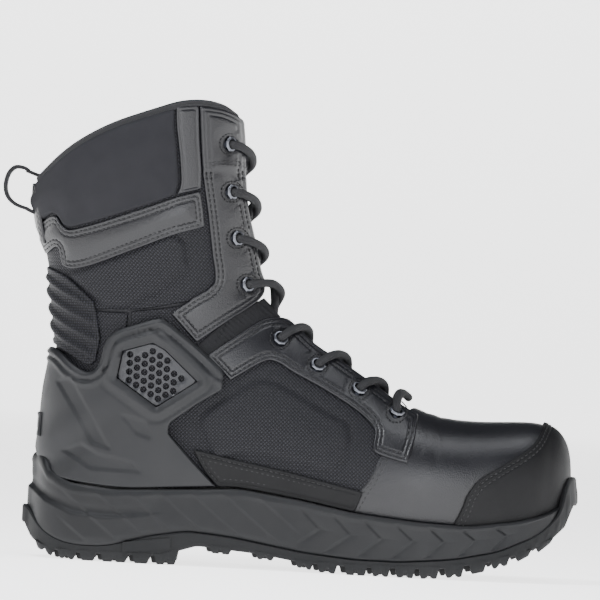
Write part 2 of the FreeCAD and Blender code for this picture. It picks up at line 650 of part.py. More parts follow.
def shaft_lining():
    bottom = [(-135.0, 141.5), (-110.0, 141.0), (-85.0, 141.8), (-52.0, 149.0)]
    top = raised(COLLAR_LINE[:6] + [(-60.0, 262.0)], -4.6)
    return wrap_panel(bottom, top, LINING, columns=31)


# ---- sole --------------------------------------------------------------------------------
def plan_outline(out, back=0.0):
    """The upper's bottom edge seen from above, moved outwards, as a closed wire."""
    stops = [0.5, 1, 2, 3, 4, 4.5, 5, 5.5, 6, 7, 8, 9, 10, 11, 11.7, 12.3, 12.75]
    ring = [(0.0, 0)] + [(v, 1) for v in stops] + [(13.0, 0)] + [(v, -1) for v in reversed(stops)]
    line = [bare_skin(v, 2.0 * side) if side else bare_skin(v, 2.0) for v, side in ring]
    points = []
    for i, p in enumerate(line):
        along = line[(i + 1) % len(line)] - line[i - 1]
        normal = FreeCAD.Vector(along.y, -along.x, 0).normalize()
        share = min(max((ring[i][0] - 11) / 2, 0), 1)
        moved = p + normal * (out + back * share * share)
        points.append(FreeCAD.Vector(moved.x, moved.y, 0))
    curve = Part.BSplineCurve()
    curve.interpolate(Points=points, PeriodicFlag=True)
    return Part.Wire(curve.toShape())


def upright(wire, z0, z1):
    """The space inside a plan outline, between two heights."""
    face = Part.Face(wire)
    face.translate(FreeCAD.Vector(0, 0, z0))
    solid = face.extrude(FreeCAD.Vector(0, 0, z1 - z0))
    return solid


TOP_LINE = [(-138.4, 58.4), (-136.2, 55.5), (-132.8, 49.5), (-122.5, 43.3), (-93.5, 40.5), (-58.5, 42.4),
            (-23.5, 44.4), (10.0, 39.9), (42.5, 34.2), (78.5, 30.9), (107.0, 30.2), (136.0, 34.3),
            (149.0, 37.9), (156.0, 41.0)]
PARTING = [(-145.0, 31.0), (-140.5, 22.0), (-134.0, 15.0), (-123.5, 10.0), (-112.0, 8.5), (-98.0, 9.0),
           (-74.5, 15.5), (-52.0, 19.5), (-27.5, 17.5), (13.5, 11.0), (42.5, 8.5), (69.0, 8.5),
           (99.5, 11.5), (124.5, 17.0), (146.0, 27.0), (155.0, 35.0), (160.0, 43.0)]
TREAD_FLOOR = [(-145.5, 19.0), (-141.0, 11.0), (-134.0, 6.0), (-122.0, 4.2), (-66.0, 4.5), (-57.0, 8.0),
               (-46.0, 11.5), (-10.0, 8.8), (14.0, 5.2), (40.0, 4.6), (90.0, 5.6), (118.0, 10.5),
               (140.0, 17.0), (154.0, 24.5), (162.5, 32.5), (167.0, 44.5)]
LUGS = [(-137.0, -127.5, 5.0, 1.5), (-124.0, -115.0, 0.5, 0.0), (-111.5, -103.5, 0.0, 0.0),
        (-99.5, -85.5, 0.0, 0.0), (-81.5, -73.0, 0.0, 0.0), (-69.0, -57.5, 0.0, 0.3), (-38.0, -27.0, 8.0, 7.6),
        (-12.0, -2.5, 6.0, 5.6), (10.5, 19.5, 2.6, 1.6), (23.0, 33.0, 0.6, 0.2), (38.5, 50.0, 0.0, 0.0),
        (53.5, 63.0, 0.0, 0.0), (67.0, 77.0, 0.0, 0.0), (80.5, 90.5, 0.0, 0.4), (95.0, 104.5, 1.2, 2.0),
        (109.0, 117.0, 4.0, 5.4), (121.0, 130.0, 7.5, 9.6), (134.5, 142.0, 12.2, 15.2),
        (146.0, 154.0, 17.8, 22.5)]


POCKET_FLOOR = 42.5        # height of the midsole's flat seat under the heel


def line_height(line, x):
    """The height of a side-view line at x."""
    for (x0, z0), (x1, z1) in zip(line, line[1:]):
        if x0 <= x <= x1:
            return z0 + (z1 - z0) * (x - x0) / (x1 - x0)
    return line[0][1] if x < line[0][0] else line[-1][1]


def midsole():
    body = prism(PARTING + TOP_LINE[::-1] + [(-142.6, 58.4)], -80, 80)
    solid = body.common(upright(plan_outline(MIDSOLE_OVERHANG, 0.9), -5, 80))
    pocket = upright(plan_outline(LINING[0] - 0.2), POCKET_FLOOR, 80)
    front = Part.makeBox(60, 160, 60, FreeCAD.Vector(-100, -80, POCKET_FLOOR))
    solid = solid.cut(pocket.cut(front)).cut(shank_space(0.3))
    return solid.cut(ankle_guard(lower=0.7, offsets=(-2.0, MOULDED[1] + 0.3)))


def lug(x0, x1, z0, z1):
    """One tread block across the sole, from its floor down to the ground."""
    roof = [line_height(TREAD_FLOOR, x) + 1.5 for x in (x0, x1)]
    return prism([(x0 - 0.8, roof[0]), (x0, z0), (x1, z1), (x1 + 0.8, roof[1])], -80, 80)


def outsole():
    """The rubber unit: floor, tread blocks with a groove down the middle, toe bumper."""
    floor_line = TREAD_FLOOR + [(167.4, 52.0), (167.0, 58.0), (165.6, 60.5), (161.0, 60.5)]
    slab_space = prism(floor_line + PARTING[::-1] + [(-147.0, 27.5)], -80, 80)
    blocks = Part.makeCompound([lug(*size) for size in LUGS])
    groove = Part.makeBox(260, 6, 4, FreeCAD.Vector(-127, -3, GROUND))
    edge = upright(plan_outline(SOLE_OVERHANG, 4.4), -5, 80)
    tread = blocks.cut(groove).common(edge)
    body = slab_space.common(edge)
    nose_space = upright(plan_outline(3.6), 43.1, 80)
    return body.cut(nose_space).fuse(tread).removeSplitter()


SHANK = (-70.0, 20.0, 9.0, 1.6)   # rear x, front x, half width, thickness
BOARD_LINE = [(-130.6, 43.4), (-93.5, 41.2), (-58.5, 43.0), (-23.5, 45.0), (10.0, 40.5), (42.5, 34.8),
              (78.5, 31.5), (107.0, 30.8), (136.0, 35.0), (149.0, 38.6), (156.0, 41.6)]


def shank_space(gap):
    """The shank, or with a gap the pocket that takes it."""
    rear, front, half, thick = SHANK
    line = [(x, line_height(TOP_LINE, x)) for x in (rear - gap, -58.5, -40.0, -23.5, -5.0, 10.0, front + gap)]
    low = [(x, z - thick - 0.1 - gap) for x, z in line]
    high = [(x, z - 0.1 + 3 * gap) for x, z in line]
    return prism(low + high[::-1], -half - gap, half + gap)


def board_layer(bottom, top, inset):
    """A flat layer that lies on the insole board's line."""
    low, high = raised(BOARD_LINE, bottom), raised(BOARD_LINE, top)
    return prism(low + high[::-1], -80, 80).common(upright(plan_outline(-inset), -5, 80))


def sole_plate(side):
    """A plain recessed plate on the sole's side, at the heel's front."""
    rear, front = -88.0, -61.0
    y = bare_skin(10.45, 2.0 * side).y + side * (SOLE_OVERHANG + 0.3)
    corners = [(rear, 6.0), (front, 8.8), (front, 15.4), (rear, 11.6)]
    return prism(corners, min(y, y + side * 0.8), max(y, y + side * 0.8))


NODES = {
    "outsole": outsole, "midsole": midsole, "shank": lambda: shank_space(0.0),
    "insole_board": lambda: board_layer(0.1, 2.1, 5.5),
    "puncture_plate": lambda: board_layer(2.3, 3.5, 6.0),
    "footbed": lambda: board_layer(4.0, 8.5, 7.4),
    "toe_cap_steel": toe_cap, "toe_cap_edge_strip": toe_cap_edge, "heel_counter": heel_counter,
    "vamp": vamp, "toe_guard": toe_guard, "heel_quarter": heel_quarter, "shaft_shell": shaft_shell,
    **{f"quarter_{n}": (lambda s=s: quarter(s)) for n, s in (("L", -1), ("M", 1))},
}


def one_per_side(build):
    """The same piece on the outer (L) and the inner (M) side."""
    return (("L", lambda: build(-1)), ("M", lambda: build(1)))


PAIRS = {"side_rand": side_rand, "lower_eyestay": lower_eyestay, "upper_eyestay": upper_eyestay,
         "collar_strip": collar_strip, "collar_binding": collar_binding, "vent_grille": vent_grille,
         "quarter_lining": quarter_lining, "eyelets": eyelets, "gusset": gusset}
for name, build in PAIRS.items():
    for letter, make in one_per_side(build):
        NODES[f"{name}_{letter}"] = make
NODES.update({
    "ankle_guard": ankle_guard, "achilles_ribs": achilles_ribs, "collar_band": collar_band,
    "collar_pad": collar_pad, "back_patch": back_patch, "heel_badge": heel_badge, "woven_tag": woven_tag,
    "ankle_foam": ankle_foam, "collar_foam": collar_foam, "vamp_lining": vamp_lining,
    "heel_lining": heel_lining, "shaft_lining": shaft_lining, "lace": lace,
    "tongue_shell": lambda: tongue_layer((-9.4, -7.9)), "tongue_pad": lambda: tongue_layer((-14.6, -9.6)),
    "tongue_lining": lambda: tongue_layer((-16.0, -14.8)), "lace_keeper": lace_keeper,
    "pull_loop": pull_loop, "pull_loop_roots": pull_loop_roots, "sole_plate": lambda: sole_plate(-1),
})

if __name__ == "__main__":
    os.makedirs("parts", exist_ok=True)
    for node, build in NODES.items():
        shape = build()
        shape.exportStep(f"parts/{node}.step")
        print(node, len(shape.Solids), shape.isValid(), round(shape.Volume))
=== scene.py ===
import bpy
import math
import numpy as np
from mathutils import Matrix, Vector
from mathutils.geometry import delaunay_2d_cdt


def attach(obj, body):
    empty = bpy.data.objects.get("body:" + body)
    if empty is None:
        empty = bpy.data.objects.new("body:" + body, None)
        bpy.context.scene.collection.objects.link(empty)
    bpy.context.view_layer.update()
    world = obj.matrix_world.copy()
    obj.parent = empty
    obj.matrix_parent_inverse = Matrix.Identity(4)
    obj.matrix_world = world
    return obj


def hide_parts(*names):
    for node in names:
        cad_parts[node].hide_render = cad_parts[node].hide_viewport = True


# A black steel toe work boot. Shapes are worked out in millimetres on the boot's last,
# in the frame of the CAD model, and turned into metres when a mesh is made.
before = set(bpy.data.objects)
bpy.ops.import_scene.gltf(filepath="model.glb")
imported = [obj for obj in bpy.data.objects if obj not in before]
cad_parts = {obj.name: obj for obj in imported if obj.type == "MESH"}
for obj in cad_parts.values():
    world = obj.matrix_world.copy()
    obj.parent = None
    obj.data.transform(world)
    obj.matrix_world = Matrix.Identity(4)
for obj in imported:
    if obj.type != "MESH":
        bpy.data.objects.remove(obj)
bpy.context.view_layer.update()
MM = 0.001
RNG = np.random.default_rng(7)

# ---- the last: chords from the bottom or back edge of the upper to its ridge -----------
# back x, z, ridge x, z, half width, shift, place of the widest point, turn-in, roundness
STATIONS = np.array([
    (163.4, 51.5, 163.4, 51.5, 0.0, 7.5, 0.30, 18.0, 2.4, 2.2),
    (161.2, 43.8, 161.9, 71.0, 14.5, 7.5, 0.30, 18.0, 2.4, 2.2),
    (156.5, 41.5, 158.2, 81.5, 25.5, 7.0, 0.30, 18.0, 2.4, 2.2),
    (149.0, 38.5, 151.5, 87.5, 34.5, 6.0, 0.30, 18.0, 2.4, 2.2),
    (136.0, 34.8, 140.5, 90.6, 42.0, 4.5, 0.30, 18.0, 2.4, 2.2),
    (107.0, 30.6, 108.5, 89.6, 49.5, 3.0, 0.30, 18.0, 2.3, 2.2),
    (78.5, 31.3, 86.5, 91.6, 51.8, 1.5, 0.29, 18.0, 2.2, 2.2),
    (42.5, 34.6, 63.5, 99.8, 48.8, -1.0, 0.28, 20.0, 2.0, 2.2),
    (10.0, 40.3, 40.5, 114.8, 44.0, -1.5, 0.28, 22.0, 1.9, 2.2),
    (-23.5, 44.8, 18.5, 129.3, 41.0, -1.0, 0.30, 22.0, 1.9, 2.2),
    (-58.5, 42.8, 2.5, 141.3, 39.5, -0.5, 0.35, 22.0, 2.0, 2.2),
    (-93.5, 40.8, -8.6, 150.3, 39.2, 0.0, 0.42, 24.0, 2.1, 2.2),
    (-123.5, 43.6, -12.6, 155.5, 38.9, 0.0, 0.48, 47.0, 2.2, 2.1),
    (-136.6, 57.0, -15.0, 161.5, 39.0, 0.0, 0.50, 90.0, 2.2, 2.1),
    (-136.2, 75.0, -17.0, 167.5, 39.2, 0.0, 0.50, 90.0, 2.2, 2.1),
    (-135.2, 95.0, -18.6, 173.5, 39.4, 0.0, 0.50, 90.0, 2.2, 2.1),
    (-132.6, 118.0, -20.6, 181.5, 39.8, 0.0, 0.50, 90.0, 2.2, 2.1),
    (-135.4, 143.4, -22.6, 192.5, 41.2, 0.0, 0.50, 90.0, 2.2, 2.1),
    (-139.6, 167.0, -25.0, 206.5, 43.2, 0.0, 0.50, 90.0, 2.2, 2.1),
    (-145.6, 191.0, -27.6, 222.5, 45.6, 0.0, 0.50, 90.0, 2.2, 2.1),
    (-148.6, 207.0, -30.0, 238.5, 47.2, 0.0, 0.50, 90.0, 2.2, 2.1),
    (-150.5, 225.0, -31.5, 256.0, 48.2, 0.0, 0.50, 90.0, 2.2, 2.1),
    (-152.0, 243.0, -33.5, 274.0, 48.8, 0.0, 0.50, 90.0, 2.2, 2.1),
    (-153.5, 262.0, -36.0, 293.0, 49.0, 0.0, 0.50, 90.0, 2.2, 2.1),
])
LAST = len(STATIONS) - 1
HEEL_CORNER = 13
CENTRE_SHIFT = -1.55
OVERLAY = (0.1, 1.6)
BASE = (-1.6, -0.1)
MOULDED = (1.8, 4.0)


def stations(v):
    """Rows of the table at v, on the Catmull-Rom curve through its rows."""
    v = np.clip(v, 0.0, LAST)
    i = np.minimum(v.astype(int), LAST - 1)
    t = (v - i)[:, None]
    a, b = STATIONS[np.maximum(i - 1, 0)], STATIONS[i]
    c, d = STATIONS[i + 1], STATIONS[np.minimum(i + 2, LAST)]
    return b + 0.5 * t * (c - a + t * (2 * a - 5 * b + 4 * c - d + t * (3 * (b - c) + d - a)))


def superellipse(angle, power):
    """cos and sin of the angle times (|cos|^p + |sin|^p)^(-1/p)."""
    c, s = np.cos(np.radians(angle)), np.sin(np.radians(angle))
    r = (np.abs(c) ** power + np.abs(s) ** power) ** (-1 / power)
    return r * c, r * s


def bare_skin(v, u):
    """The last's surface: a place on the chord at v, and a superellipse's half width out
    to the side. u is 0 on the ridge, 1 on the widest line, 2 on the bottom or back."""
    bx, bz, rx, rz, half, shift, widest, turn, above, below = stations(v).T
    g = np.minimum(np.abs(u), 2.0)
    along, out = superellipse(90 * np.minimum(g, 1), above)
    out_low, down = superellipse(turn * np.maximum(g - 1, 0), below)
    low = widest * (1 - down / superellipse(turn, below)[1])
    sigma = np.where(g <= 1, widest + (1 - widest) * along, low)
    y = CENTRE_SHIFT + shift + np.where(u >= 0, 1, -1) * half * np.where(g <= 1, out, out_low)
    return np.stack([bx + sigma * (rx - bx), y, bz + sigma * (rz - bz)], 1)


def skin(v, u):
    """Points of the surface and their outward normals."""
    v = np.clip(np.asarray(v, float), 0.04, LAST)
    u = np.clip(np.asarray(u, float), -2.0, 2.0)
    step = 0.02
    across = bare_skin(v, np.minimum(u + step, 2)) - bare_skin(v, np.maximum(u - step, -2))
    along = bare_skin(np.minimum(v + step, LAST), u) - bare_skin(v - step, u)
    normal = np.cross(across, along)
    normal /= np.linalg.norm(normal, axis=1, keepdims=True)
    point = bare_skin(v, u)
    s = stations(v)
    middle = np.stack([(s[:, 0] + s[:, 2]) / 2, CENTRE_SHIFT + s[:, 5], (s[:, 1] + s[:, 3]) / 2], 1)
    flip = np.sum(normal * (point - middle), 1) < 0
    normal[flip] *= -1
    return point, normal


FINE_V = np.arange(1, 16 * LAST + 1) / 16
FINE = stations(FINE_V)[:, :4]


def spot(x, z, side):
    """(v, u) of the surface seen at (x, z) from the side: the chord through the point,
    then the superellipse's angle at that place on the chord."""
    x, z = np.atleast_1d(np.asarray(x, float)), np.atleast_1d(np.asarray(z, float))
    v, sigma = np.empty_like(x), np.empty_like(x)
    bx, bz, rx, rz = FINE.T
    for k in range(0, len(x), 2000):
        px, pz = x[k:k + 2000, None], z[k:k + 2000, None]
        s = (rx - bx) * (pz - bz) - (rz - bz) * (px - bx)
        s0, s1 = s[:, :-1], s[:, 1:]
        t = s0 / np.where(np.abs(s0 - s1) < 1e-9, 1e-9, s0 - s1)
        cx, cz = bx[:-1] + t * np.diff(bx), bz[:-1] + t * np.diff(bz)
        dx = rx[:-1] + t * np.diff(rx) - cx
        dz = rz[:-1] + t * np.diff(rz) - cz
        along = ((px - cx) * dx + (pz - cz) * dz) / (dx * dx + dz * dz)
        miss = np.maximum(0, np.maximum(-along, along - 1)) + 1e3 * (s0 * s1 > 0)
        best = np.argmin(miss, 1)
        rows = np.arange(len(best))
        v[k:k + 2000] = FINE_V[best] + t[rows, best] / 16
        sigma[k:k + 2000] = along[rows, best]
    widest, turn, above, below = stations(v)[:, 6:].T
    t_up = np.clip((sigma - widest) / (1 - widest), 0, 1)
    u_up = np.degrees(np.arctan2((1 - t_up ** above) ** (1 / above), t_up)) / 90
    t_low = np.clip(1 - sigma / widest, 0, 1) * superellipse(turn, below)[1]
    u_low = 1 + np.degrees(np.arctan2(t_low, np.maximum(1 - t_low ** below, 0) ** (1 / below))) / turn
    return v, side * np.minimum(np.where(sigma >= widest, u_up, u_low), 2.0)


# ---- charts: flat coordinates in millimetres for panels ---------------------------------
ELLIPSE = np.linspace(0, math.pi / 2, 400)
ROUND_X = 57 * (1 - np.cos(ELLIPSE))
ROUND_S = np.concatenate([[0], np.cumsum(np.hypot(np.diff(ROUND_X), np.diff(40 * np.sin(ELLIPSE))))])
BACK = stations(np.linspace(HEEL_CORNER, LAST, 300))[:, :2]


def flat_back(z):
    """x of the back edge at height z."""
    return np.interp(z, BACK[:, 1], BACK[:, 0])


def unroll(dx):
    """The way round the heel from the back edge to a point dx in front of it."""
    return np.where(dx > 57, ROUND_S[-1] + dx - 57, np.interp(dx, ROUND_X, ROUND_S))


def roll(s):
    """The inverse of unroll."""
    return np.where(s > ROUND_S[-1], 57 + s - ROUND_S[-1], np.interp(s, ROUND_S, ROUND_X))


def side_chart(side):
    """Chart of one side: the side view itself."""
    def place(p):
        return spot(p[:, 0], p[:, 1], side)
    return place


def wrap_chart(p):
    """Chart round the heel: first coordinate the way round from the back, with sign."""
    x = flat_back(p[:, 1]) + roll(np.abs(p[:, 0])) + 0.002
    v, u = spot(x, p[:, 1], 1)
    return v, u * np.where(p[:, 0] >= 0, 1, -1)


def wrapped(points, side=1):
    """Side-view points as places of the wrap chart."""
    p = np.array(points, float)
    return np.stack([side * unroll(np.maximum(p[:, 0] - flat_back(p[:, 1]), 0)), p[:, 1]], 1)


def through(points, step=1.2):
    """Evenly spaced points on the Catmull-Rom curve through points."""
    p = np.array(points, float)
    if len(p) == 2:
        n = max(int(np.linalg.norm(p[1] - p[0]) / step), 1)
        return p[0] + (p[1] - p[0]) * np.linspace(0, 1, n + 1)[:, None]
    q = np.vstack([2 * p[0] - p[1], p, 2 * p[-1] - p[-2]])
    t = np.linspace(0, 1, 16, endpoint=False)[:, None]
    fine = [q[i + 1] + 0.5 * t * (q[i + 2] - q[i] + t * (2 * q[i] - 5 * q[i + 1] + 4 * q[i + 2] - q[i + 3]
            + t * (3 * (q[i + 1] - q[i + 2]) + q[i + 3] - q[i]))) for i in range(len(p) - 1)]
    return even(np.vstack(fine + [p[-1:]]), step)


def even(line, step):
    """The same polyline with points at equal distances near step."""
    reach = np.concatenate([[0], np.cumsum(np.linalg.norm(np.diff(line, axis=0), axis=1))])
    n = max(int(round(reach[-1] / step)), 1)
    want = np.linspace(0, reach[-1], n + 1)
    return np.stack([np.interp(want, reach, line[:, k]) for k in range(line.shape[1])], 1)


def outline(*curves, step=1.2):
    """A closed outline of smooth curves that meet in corners, turning left."""
    loop = np.vstack([through(c, step)[:-1] for c in curves])
    area = np.sum(loop[:, 0] * np.roll(loop[:, 1], -1) - np.roll(loop[:, 0], -1) * loop[:, 1])
    return loop if area > 0 else loop[::-1]


def distance(points, loop, closed=True):
    """Distance of each point to the nearest segment of a polyline."""
    a = loop if closed else loop[:-1]
    b = np.roll(loop, -1, 0) if closed else loop[1:]
    best = np.full(len(points), 1e9)
    ab = b - a
    size = np.maximum(np.sum(ab * ab, 1), 1e-12)
    for k in range(0, len(points), 3000):
        p = points[k:k + 3000, None, :]
        t = np.clip(np.sum((p - a) * ab, 2) / size, 0, 1)
        best[k:k + 3000] = np.min(np.linalg.norm(p - (a + t[:, :, None] * ab), axis=2), 1)
    return best


def inside(points, loop):
    """Whether each point is inside a closed polygon, by counting crossings."""
    a, b = loop, np.roll(loop, -1, 0)
    x, y = points[:, 0][:, None], points[:, 1][:, None]
    spans = (a[:, 1] > y) != (b[:, 1] > y)
    cut = a[:, 0] + (y - a[:, 1]) * (b[:, 0] - a[:, 0]) / np.where(b[:, 1] == a[:, 1], 1e-12, b[:, 1] - a[:, 1])
    return (np.sum(spans & (x < cut), 1) % 2) == 1


def inset(loop, d):
    """Points of a closed outline moved inwards by d, and which of them are still valid."""
    along = np.roll(loop, -1, 0) - np.roll(loop, 1, 0)
    normal = np.stack([-along[:, 1], along[:, 0]], 1) / np.linalg.norm(along, axis=1, keepdims=True)
    moved = loop + normal * d
    return moved, (distance(moved, loop) > 0.97 * d) & inside(moved, loop)


# ---- meshes ------------------------------------------------------------------------------
def make_mesh(name, points, faces, material, uv=None, smooth=True):
    """A mesh object at the origin from points in millimetres. faces is a list of arrays
    of corner indices; uv gives each point's place in the chart."""
    mesh = bpy.data.meshes.new(name)
    mesh.from_pydata((np.asarray(points) * MM).tolist(), [], [f.tolist() for group in faces for f in group])
    mesh.validate()
    mesh.update()
    mesh.polygons.foreach_set("use_smooth", [smooth] * len(mesh.polygons))
    if uv is not None:
        corners = np.empty(len(mesh.loops), int)
        mesh.loops.foreach_get("vertex_index", corners)
        layer = mesh.uv_layers.new(name="UVMap")
        layer.data.foreach_set("uv", (np.asarray(uv)[corners]).ravel())
    piece = bpy.data.objects.new(name, mesh)
    bpy.context.scene.collection.objects.link(piece)
    piece.data.materials.append(material)
    return piece


def sharpen(piece, angle=38):
    """Shade smooth but keep edges sharper than angle."""
    piece.data.set_sharp_from_angle(angle=math.radians(angle))


RINGS = (0.25, 0.6, 1.1, 1.7, 2.2, 2.7, 3.3, 3.9, 4.4, 4.9, 5.8)
STITCHES = {"boot": []}


def groove(dist, rows, depth=0.4, width=0.45):
    """Rows of stitching pulled into the surface: a bell-shaped dip at each distance."""
    dip = np.zeros_like(dist)
    for r in rows:
        dip -= depth * np.exp(-((dist - r) / width) ** 2)
    return dip


def sheet(loop, chart, offsets, relief=None, holes=(), grid=2.6, rings=RINGS, edge=0.7):
    """A panel cut to an outline: points in rings beside the edge and in a triangle grid
    inside are joined by Delaunay, laid on the last, and given a thickness; the outer face
    rounds off by a quarter circle at its edge."""
    loops = [loop, *holes]
    border = np.vstack(loops)
    low, high = loop.min(0), loop.max(0)
    gx, gy = np.meshgrid(np.arange(low[0], high[0], grid), np.arange(low[1], high[1], grid * 0.866))
    gx = gx + (np.arange(gx.shape[0]) % 2)[:, None] * grid / 2
    bulk = np.stack([gx.ravel(), gy.ravel()], 1)

    def edge_distance(p):
        return np.min([distance(p, one) for one in loops], 0)

    bulk = bulk[inside(bulk, loop)]
    for hole in holes:
        bulk = bulk[~inside(bulk, hole)]
    bulk = bulk[edge_distance(bulk) > rings[-1] + 0.5 * grid] if len(bulk) else bulk
    extra = [bulk]
    for r in rings:
        ring, good = inset(loop, r)
        ring = ring[good]
        for hole in holes:
            if len(ring):
                ring = ring[~inside(ring, hole)]
        extra.append(ring)
        for hole in holes:
            extra.append(inset(hole[::-1], -r)[0])
    points = np.vstack([e for e in extra if len(e)])
    far = edge_distance(points)
    keep = inside(points, loop) & (far > 0.2)
    points = points[keep]
    everything = np.vstack([border, points])
    edges, start = [], 0
    for one in loops:
        n = len(one)
        edges += [(start + i, start + (i + 1) % n) for i in range(n)]
        start += n
    flat, _, faces, *_ = delaunay_2d_cdt([Vector(p) for p in everything], edges, [], 0, 1e-4)
    flat = np.array([tuple(p) for p in flat])
    tris = np.array([f for f in faces if len(f) == 3], int)
    centre = flat[tris].mean(1)
    good = inside(centre, loop)
    for hole in holes:
        good &= ~inside(centre, hole)
    tris = tris[good]
    used, tris = np.unique(tris, return_inverse=True)
    flat, tris = flat[used], tris.reshape(-1, 3)
    dist = edge_distance(flat)
    dist[dist < 1e-3] = 0
    v, u = chart(flat)
    point, normal = skin(v, u)
    t = np.clip(dist / edge, 0, 1)
    top = offsets[1] - edge * (1 - np.sqrt(1 - (1 - t) ** 2))
    if relief is not None:
        top = top + relief(flat, dist)
    outer, inner = point + normal * top[:, None], point + normal * offsets[0]
    a, b, c = outer[tris[:, 0]], outer[tris[:, 1]], outer[tris[:, 2]]
    if np.sum(np.cross(b - a, c - a) * normal[tris[:, 0]]) < 0:
        tris = tris[:, ::-1]
    n = len(flat)
    sides = np.vstack([tris[:, [0, 1]], tris[:, [1, 2]], tris[:, [2, 0]]])
    key = {tuple(e) for e in sides.tolist()}
    rim = np.array([e for e in sides.tolist() if (e[1], e[0]) not in key])
    walls = np.stack([rim[:, 1], rim[:, 0], rim[:, 0] + n, rim[:, 1] + n], 1)
    return np.vstack([outer, inner]), [tris, tris[:, ::-1] + n, walls], np.vstack([flat, flat])


def stitch(loop, chart, height, rows, pitch=3.1, skip=None, body="boot"):
    """Rows of thread at distances inside an outline: the middle and direction of each
    stitch, kept for one mesh at the end."""
    for r in rows:
        ring, good = inset(loop, r)
        if skip is not None:
            good &= ~skip(ring)
        runs = np.split(np.arange(len(ring)), np.nonzero(np.diff(good.astype(int)))[0] + 1)
        for run in runs:
            if len(run) < 4 or not good[run[0]]:
                continue
            line = even(ring[run], pitch)
            v, u = chart(line)
            p, n = skin(v, u)
            p = p + n * (height - 0.22)
            STITCHES[body].append((p[:-1], p[1:], n[:-1]))


def thread_mesh(name, material, runs):
    """All stitches as small spindles: rings of five points, thick in the middle, along
    0.72 of the way from one needle hole to the next."""
    a, b, n = (np.vstack([r[k] for r in runs]) for k in range(3))
    axis = (b - a) * 0.72
    start = a + (b - a) * 0.14
    across = np.cross(axis, n)
    across /= np.linalg.norm(across, axis=1, keepdims=True)
    levels = [(0.0, 0.12), (0.2, 0.34), (0.5, 0.4), (0.8, 0.34), (1.0, 0.12)]
    angles = np.linspace(0, 2 * math.pi, 5, endpoint=False)
    points = []
    for t, r in levels:
        for g in angles:
            points.append(start + axis * t + across * (r * math.cos(g)) + n * (r * math.sin(g) + 0.1 - abs(t - 0.5) * 0.5))
    points = np.stack(points, 1)
    count, each = points.shape[:2]
    quads = [(k * 5 + i, k * 5 + (i + 1) % 5, (k + 1) * 5 + (i + 1) % 5, (k + 1) * 5 + i) for k in range(4) for i in range(5)]
    caps = [tuple(range(4, -1, -1)), tuple(range(20, 25))]
    base = np.arange(count)[:, None, None] * each
    faces = [(np.array(quads)[None] + base).reshape(-1, 4), (np.array(caps)[None] + base).reshape(-1, 5)]
    return make_mesh(name, points.reshape(-1, 3), faces, material)


def rings_mesh(name, rings, material, closed=True, caps=True, uv=None, smooth=True):
    """A tube of rings (count, around, 3): quads between neighbours, polygons at the ends."""
    n, m = rings.shape[:2]
    i, j = np.meshgrid(np.arange(n - 1), np.arange(m if closed else m - 1), indexing="ij")
    k = (j + 1) % m
    quads = np.stack([i * m + j, i * m + k, (i + 1) * m + k, (i + 1) * m + j], -1).reshape(-1, 4)
    faces = [quads]
    if caps:
        faces += [np.arange(m)[None, ::-1], (np.arange(m) + (n - 1) * m)[None]]
    piece = make_mesh(name, rings.reshape(-1, 3), faces, material, uv, smooth)
    outward(piece)
    return piece


def outward(piece):
    """Turn the faces so that a closed mesh's volume is positive."""
    mesh = piece.data
    co = np.empty(len(mesh.vertices) * 3)
    mesh.vertices.foreach_get("co", co)
    co = co.reshape(-1, 3)
    mesh.calc_loop_triangles()
    tri = np.empty(len(mesh.loop_triangles) * 3, int)
    mesh.loop_triangles.foreach_get("vertices", tri)
    a, b, c = (co[tri.reshape(-1, 3)[:, k]] for k in range(3))
    if np.sum(np.einsum("ij,ij->i", a, np.cross(b, c))) < 0:
        mesh.flip_normals()


def swept(name, path, profile, up, material, closed=False, pitch=None):
    """A profile (m, 2) carried along a path: first coordinate across, second along up.
    The UV map holds millimetres along the path and around the profile."""
    t = np.gradient(path, axis=0)
    t /= np.linalg.norm(t, axis=1, keepdims=True)
    across = np.cross(t, up)
    across /= np.linalg.norm(across, axis=1, keepdims=True)
    high = np.cross(across, t)
    rings = path[:, None] + across[:, None] * profile[None, :, :1] + high[:, None] * profile[None, :, 1:]
    reach = np.concatenate([[0], np.cumsum(np.linalg.norm(np.diff(path, axis=0), axis=1))])
    around = np.concatenate([[0], np.cumsum(np.linalg.norm(np.diff(profile, axis=0), axis=1))])
    uv = np.stack(np.broadcast_arrays(reach[:, None], around[None]), -1).reshape(-1, 2)
    return rings_mesh(name, rings, material, uv=uv)


def circle(r, n=16):
    """n points round a circle."""
    a = np.linspace(0, 2 * math.pi, n, endpoint=False)
    return np.stack([r * np.cos(a), r * np.sin(a)], 1)


def stadium(width, height, r, n=5):
    """A rectangle with rounded corners."""
    out = []
    for cx, cy, start in ((1, 1, 0), (-1, 1, 90), (-1, -1, 180), (1, -1, 270)):
        a = np.radians(start + np.linspace(0, 90, n))
        out.append(np.stack([cx * (width / 2 - r) + r * np.cos(a), cy * (height / 2 - r) + r * np.sin(a)], 1))
    return np.vstack(out)


